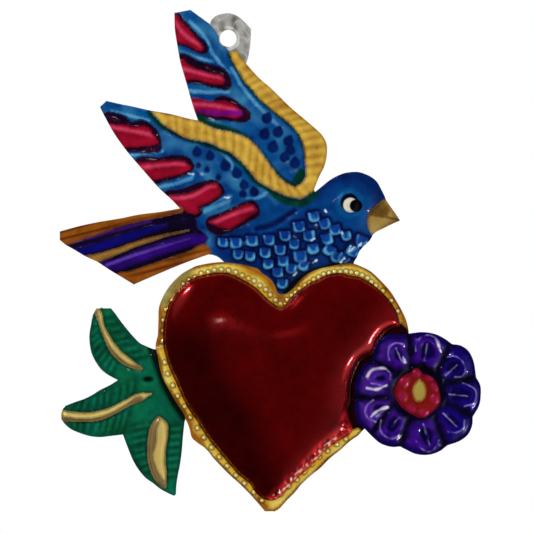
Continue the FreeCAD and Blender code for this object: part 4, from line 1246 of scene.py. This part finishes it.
flower.marks = {
    # Painted shade: near black in the valleys between petals and round the centre.
    "valley": 3.8 - valley + 1.4 * wander(p, 16, 54), "throat": 30 - radius + wander(p, 14, 53) * 1.5,
    # Painted shade: darker in the dish of each petal.
    "margin": 5 - edge_gap, "hollow": dish - 2,
    # Painted highlight: thin pale lines along the petals' fine ridges and creases.
    "thin": -0.05 - 0.5 * np.abs(wander(p, 13, 55)) - np.minimum(fine_ridge, petal_crease),
    # Painted light and shade: petals lighter violet at the left, darker navy at the right.
    "east": (p[:, 0] - 440) / 3 + 2 * wander(p, 30, 56),
    "west": (386 - p[:, 0]) / 3 + 2 * wander(p, 24, 58),
    "glint": 0.5 - nearest(p, PETAL_GLINTS, 9) + 0.9 * wander(p, 11, 57)}
FLOWER_FINISH = lacquer("violet lacquer", ((88, 22, 190), (18, 0, 108)), [
    # Painted light and shade: petals lighter violet at the left, darker navy at the right.
    ("west", (122, 54, 220), (40, 4, 140), 0.45, 5.0),
    ("east", (36, 8, 164), (6, 0, 92), 0.45, 5.0),
    ("margin", (28, 2, 130), (12, 0, 84), 0.4, 6.0),
    # Painted shade: darker in the dish of each petal.
    ("hollow", (20, 0, 112), (5, 0, 52), 0.4, 4.0),
    # Painted shade: near black in the valleys between petals and round the centre.
    ("valley", (20, 4, 66), (5, 1, 22), 0.3, 6.0),
    ("throat", (14, 2, 46), (3, 1, 16), 0.3, 6.0),
    # Painted highlight: thin pale lines along the petals' fine ridges and creases.
    ("thin", (214, 194, 250), (110, 66, 206), 0.15, 1.3),
    ("glint", (255, 250, 255), (216, 198, 250), 0.1, 1.8)],
    metal=0.45, rough=0.2, coat=0.7, hollow_darkening=4.0, cloud=1.3)
built(flower, FLOWER_FINISH)

# %% [markdown]
# ## The flower's centre
#
# A small red disc with a ring of bumps round a hollow, and a pale seed in its middle.

# %% Press and lacquer the centre
CENTRE_EDGE = flow(trace("""
    411,372.5* 413,369 416.5,367.9 420,370 422,373.5* 428,375 434,379 438,387 440.3,396 440,403* 435,409
    428,415 424,417.6* 418,417.5* 405,410 399,404 394.5,396 394,391 396,384 400,378
    406,374"""), 0.5, closed=True)
BUMPS = trace("""
    416,373.5,4.5 404,382,5.5 402.5,396,5.5 411,408,5 423.5,412.5,5 434,399,5 434.5,387,4.6 429,378,4""")
SEED = flow(trace("""
    419.5,379.5* 423.5,384 425.3,390 424.5,396 420.5,400.8 416,400.2 413.5,395 413,389
    415.5,383.5"""), 0.8, closed=True)
CENTRE_CLIP = 0.69
centre = Sheet("flower_centre", CENTRE_EDGE, 0.46)
p = centre.p
edge_gap = away(p, looped(CENTRE_EDGE), 30)
bump = np.max([size - from_dot(p, (x, y)) for x, y, size in BUMPS], 0)
in_seed = depth_in(p, SEED, 20)
centre.h = 0.3 * swell(np.clip(edge_gap, 0, 9), 4) * np.clip(-(in_seed + 5.5) / 4, 0, 1)
centre.h += 0.36 * swell(np.clip(bump + 1, 0, 9), 5) + 0.28 * swell(np.clip(in_seed + 1, 0, 9), 5)
centre.h = np.clip(centre.softened(centre.h + 0.02 * (1 + wander(p, 8, 61)), 9), 0, CENTRE_CLIP)
centre.marks = {"bump": bump - 0.5, "seed": in_seed, "margin": 3.0 - edge_gap}
CENTRE_FINISH = lacquer("red lacquer with a gilt seed", ((200, 40, 28), (130, 8, 14)), [
    ("margin", (190, 16, 60), (110, 2, 22), 0.5, 3.0),
    ("bump", (214, 40, 92), (150, 8, 40), 0.5, 3.5),
    ("seed", (204, 184, 84), (170, 142, 54), 0.2, 0.7)],
    metal=0.5, rough=0.26, coat=0.5, hollow_darkening=3.0, cloud=0.5)
built(centre, CENTRE_FINISH)

# %% [markdown]
# ## The hanging tab
#
# A tongue of bare tin with a punched hole, behind the upper wing. The sheet is flat. The burr that
# the punch left round the hole is a painted highlight, the dents are painted shade, and the grazes
# are lighter tin.

# %% Cut the tab
TAB_EDGE = flow(trace("""
    212,76* 210,60 209.3,40 210,23.5 212,19.5 216,16 222,14 230,13.4 238,16.5 245,22.5 251,29* 250.5,42
    248,58 246,64 243,76*"""), 1.2, closed=True)
HOLE_RADIUS = 8.46
turns = np.linspace(0, math.tau, 40, endpoint=False)
PUNCHED = HOLE + HOLE_RADIUS * np.stack([np.cos(turns), np.sin(turns)], 1)
tab = Sheet("hanging_tab", TAB_EDGE, 1.6, holes=[PUNCHED])
off_lip = np.abs(from_dot(tab.p, HOLE) - 10.2 - 1.2 * wander(tab.p, 9, 71))
# Painted light on the flat tab: a highlight ring round the hole and painted shade for the dents.
tab.marks = {"burr": 0.9 - off_lip - 1.2 * wander(tab.p, 12, 72), "dent": 2.4 * wander(tab.p, 13, 73) - 1.2,
             "graze": 1.0 - np.abs(4 * wander(tab.p, 20, 74) - 1) * 2}
TAB_FINISH = lacquer("bare tin, front", ((214, 212, 204), (168, 166, 158)), [
    # Painted shade: the dents of the flat sheet as darker patches.
    ("dent", (150, 148, 142), (112, 110, 104), 0.4, 3.0),
    ("graze", (236, 236, 230), (210, 210, 204), 0.4, 2.0),
    # Painted highlight: the burr round the hole.
    ("burr", (252, 252, 248), (226, 226, 220), 0.3, 1.6)],
    metal=0.3, rough=0.34, coat=0.0, hollow_darkening=2.0, cloud=1.4)
built(tab, TAB_FINISH)

# %% [markdown]
# ## Solder
#
# The photograph shows only the front, so the joints are the usual ones: dabs of soft solder where
# one sheet ends on the back of the next. Each is a low, uneven lens with a wavy foot.

# %% Solder dabs
DAB_RADIUS = 1.46
AROUND, RINGS = 36, 9


def solder_finish():
    """Dull grey solder: bright where it is smooth, with a crust of flux here and there."""
    board = Board("soft solder")
    lumps, crust = board.noise(900, 3, 0.6), board.noise(380, 4, 0.6)
    stain = ((crust - 0.55) * 6).clamped()
    grey = board.blend((lumps * 1.5 - 0.3).clamped(), tone(120, 122, 124), tone(182, 184, 186))
    colour = board.blend(stain * 0.7, grey, tone(104, 88, 62))
    return board.finish({"Base Color": colour, "Metallic": 0.8 - stain * 0.5,
                         "Roughness": 0.34 + stain * 0.3}, (lumps, 0.4, 0.0001))


def web(start, rings, around):
    """The faces of a round web: a middle point, then rings of points about it."""
    faces = []
    for k in range(around):
        n = (k + 1) % around
        faces.append((start, start + 1 + k, start + 1 + n))
        for ring in range(rings - 1):
            a = start + 1 + ring * around
            b = a + around
            faces.append((a + k, b + k, b + n, a + n))
    return faces


SOLDER = solder_finish()


def dabs(name, places, low, high, seed):
    """A dab at each place, from the plane at low to its crown at high, in mm."""
    dice = np.random.default_rng(seed)
    verts, faces = [], []
    for place in places:
        middle = metres(place)
        phase = dice.uniform(0, math.tau, 3)
        stretch = dice.uniform(0.88, 1.0, 2)
        for crown in (high - low, 0.0):
            web_faces = web(len(verts), RINGS, AROUND)
            faces += [face[::-1] for face in web_faces] if crown else web_faces
            verts.append((middle[0], (low + crown) * MM, middle[1]))
            for ring in range(1, RINGS + 1):
                share = ring / RINGS
                for k in range(AROUND):
                    angle = math.tau * k / AROUND
                    wave = 1 + 0.05 * math.sin(3 * angle + phase[0]) + 0.04 * math.sin(5 * angle + phase[1])
                    reach = DAB_RADIUS * wave * share
                    dip = 1 - share**2.2 + 0.05 * math.sin(2 * angle + phase[2]) * share * (1 - share)
                    verts.append((middle[0] + reach * stretch[0] * math.cos(angle) * MM,
                                  (low + crown * max(0.0, min(1.0, dip))) * MM,
                                  middle[1] + reach * stretch[1] * math.sin(angle) * MM))
    piece = new_object(name, verts, [], faces)
    piece.data.materials.append(SOLDER)
    weld = piece.modifiers.new("weld", "WELD")
    weld.merge_threshold = 0.002 * MM
    plain(piece)
    piece.data.shade_smooth()
    declare(piece, name)


dabs("tab_solder", [(240, 74), (227, 76), (211, 58)], -0.3, 0.0, 71)
dabs("bird_solder", [(337, 268.5), (300, 283.5), (262, 282.5), (240, 270.8)], -0.6, 0.0, 72)
dabs("sprig_solder", [(162.5, 362), (170, 386), (180, 404.5)], -0.6, 0.0, 73)
dabs("flower_solder", [(404, 372), (398, 390)], -0.9, -0.3, 74)
print("solder dabs: 12")

# %% [markdown]
# ## Camera and light
#
# The photograph is taken straight on from a good distance. Lacquered tin shows what stands round
# it, so the room matters as much as the lamps: white behind, and dark round the camera.

# %% Camera
CAMERA_DISTANCE = 1.2
SENSOR = 36
camera_data = bpy.data.cameras.new("camera")
camera_data.sensor_width = SENSOR
camera_data.lens = SENSOR * CAMERA_DISTANCE / (PHOTO_SIZE * PIXEL)
camera = bpy.data.objects.new("camera", camera_data)
middle = metres((PHOTO_SIZE / 2, PHOTO_SIZE / 2))
camera.location = (middle[0], -CAMERA_DISTANCE, middle[1])
camera.rotation_euler = (math.radians(90), 0, 0)
bpy.context.collection.objects.link(camera)
bpy.context.scene.camera = camera
print("lens:", round(camera_data.lens, 1), "mm")

# %% World
bpy.context.scene.view_settings.view_transform = "Standard"
world = bpy.data.worlds.new("studio")
bpy.context.scene.world = world
world.use_nodes = True
tree = world.node_tree
tree.nodes.clear()
rays = put(tree, "ShaderNodeLightPath").outputs
looked = put(tree, "ShaderNodeMath", {"operation": "MAXIMUM"},
             {0: rays["Is Camera Ray"], 1: rays["Is Glossy Ray"]})
seen = put(tree, "ShaderNodeMath", {"operation": "MAXIMUM"},
           {0: looked.outputs[0], 1: rays["Is Transmission Ray"]})
level = put(tree, "ShaderNodeMapRange", None, {"Value": seen.outputs[0], "To Min": 0.8, "To Max": 1.0})
sky = put(tree, "ShaderNodeBackground", None, {"Color": (1, 1, 1, 1), "Strength": level.outputs[0]})
put(tree, "ShaderNodeOutputWorld", None, {"Surface": sky.outputs[0]})
print("white backdrop, a little dimmer as light")

# %% [markdown]
# The dark room is a big shell round the front of the object that only reflections see. It is open
# behind, where the white backdrop is. It is nearly black, with three soft windows: a broad, dim one
# at the right, a small bright one low at the right and a small one high at the left.

# %% The dark room
def room_shell(radius, opening):
    """A shell round the middle of the object, left open behind from this angle off the front."""
    rings, around = 24, 48
    verts = [(0.0, -radius, 0.0)]
    for ring in range(1, rings + 1):
        tilt = math.radians(opening) * ring / rings
        for k in range(around):
            turn = math.tau * k / around
            verts.append((radius * math.sin(tilt) * math.cos(turn), -radius * math.cos(tilt),
                          radius * math.sin(tilt) * math.sin(turn)))
    return new_object("dark_room", verts, [], web(0, rings, around))


def window(board, direction, wide, level):
    """A soft bright patch on the shell, in a direction from the object, this many degrees wide."""
    aim = tuple(Vector(direction).normalized())
    unit = board.add("ShaderNodeVectorMath", {"operation": "NORMALIZE"}, {0: board.place()})
    toward = board.add("ShaderNodeVectorMath", {"operation": "DOT_PRODUCT"}, {0: unit, 1: aim}, out="Value")
    return board.add("ShaderNodeMapRange", {"interpolation_type": "SMOOTHERSTEP"},
                     {"Value": toward, "From Min": math.cos(math.radians(wide)), "From Max": 1.0,
                      "To Min": 0.0, "To Max": level})


room = room_shell(3.0, 122)
room.data.shade_smooth()
room.location = (middle[0], 0, middle[1])
board = Board("dark room")
light = (0.015 + window(board, (1, -0.1, -0.45), 75, 0.3) + window(board, (0.8, -0.32, -0.52), 22, 1.3)
         + window(board, (-0.75, -0.35, 0.55), 26, 0.5))
glow = board.add("ShaderNodeEmission", None, {"Color": (1, 1, 1, 1), "Strength": light})
board.add("ShaderNodeOutputMaterial", None, {"Surface": glow})
room.data.materials.append(board.material)
room.visible_camera = room.visible_diffuse = room.visible_shadow = room.visible_transmission = False

# %% Floor
FLOOR_Z = -0.168
corners = [(-0.6, -0.6, 0), (0.6, -0.6, 0), (0.6, 0.6, 0), (-0.6, 0.6, 0)]
floor = new_object("floor", corners, [], [(0, 1, 2, 3)])
floor.location = (middle[0], 0, FLOOR_Z)
floor.visible_glossy = False
board = Board("pale floor")
pale = board.blend(board.noise(60, 3), tone(236, 236, 234), tone(230, 230, 228))
floor.data.materials.append(board.finish({"Base Color": pale, "Roughness": 0.7}))

# %% Lamps
def lamp(name, place, aim, size, watts):
    """A square soft lamp at a place, turned to a point."""
    data = bpy.data.lights.new(name, "AREA")
    data.size, data.energy = size, watts
    piece = bpy.data.objects.new(name, data)
    piece.location = place
    piece.rotation_mode = "QUATERNION"
    piece.rotation_quaternion = (Vector(aim) - Vector(place)).to_track_quat("-Z", "Y")
    bpy.context.collection.objects.link(piece)


heart_middle = (middle[0], 0, middle[1])
lamp("key lamp", (0.9, -0.42, -0.55), heart_middle, 0.12, 4.0)
lamp("high lamp", (-0.75, -0.35, 0.75), heart_middle, 0.1, 3.4)
lamp("small lamp", (-0.05, -1.1, 0.13), heart_middle, 0.02, 0.05)
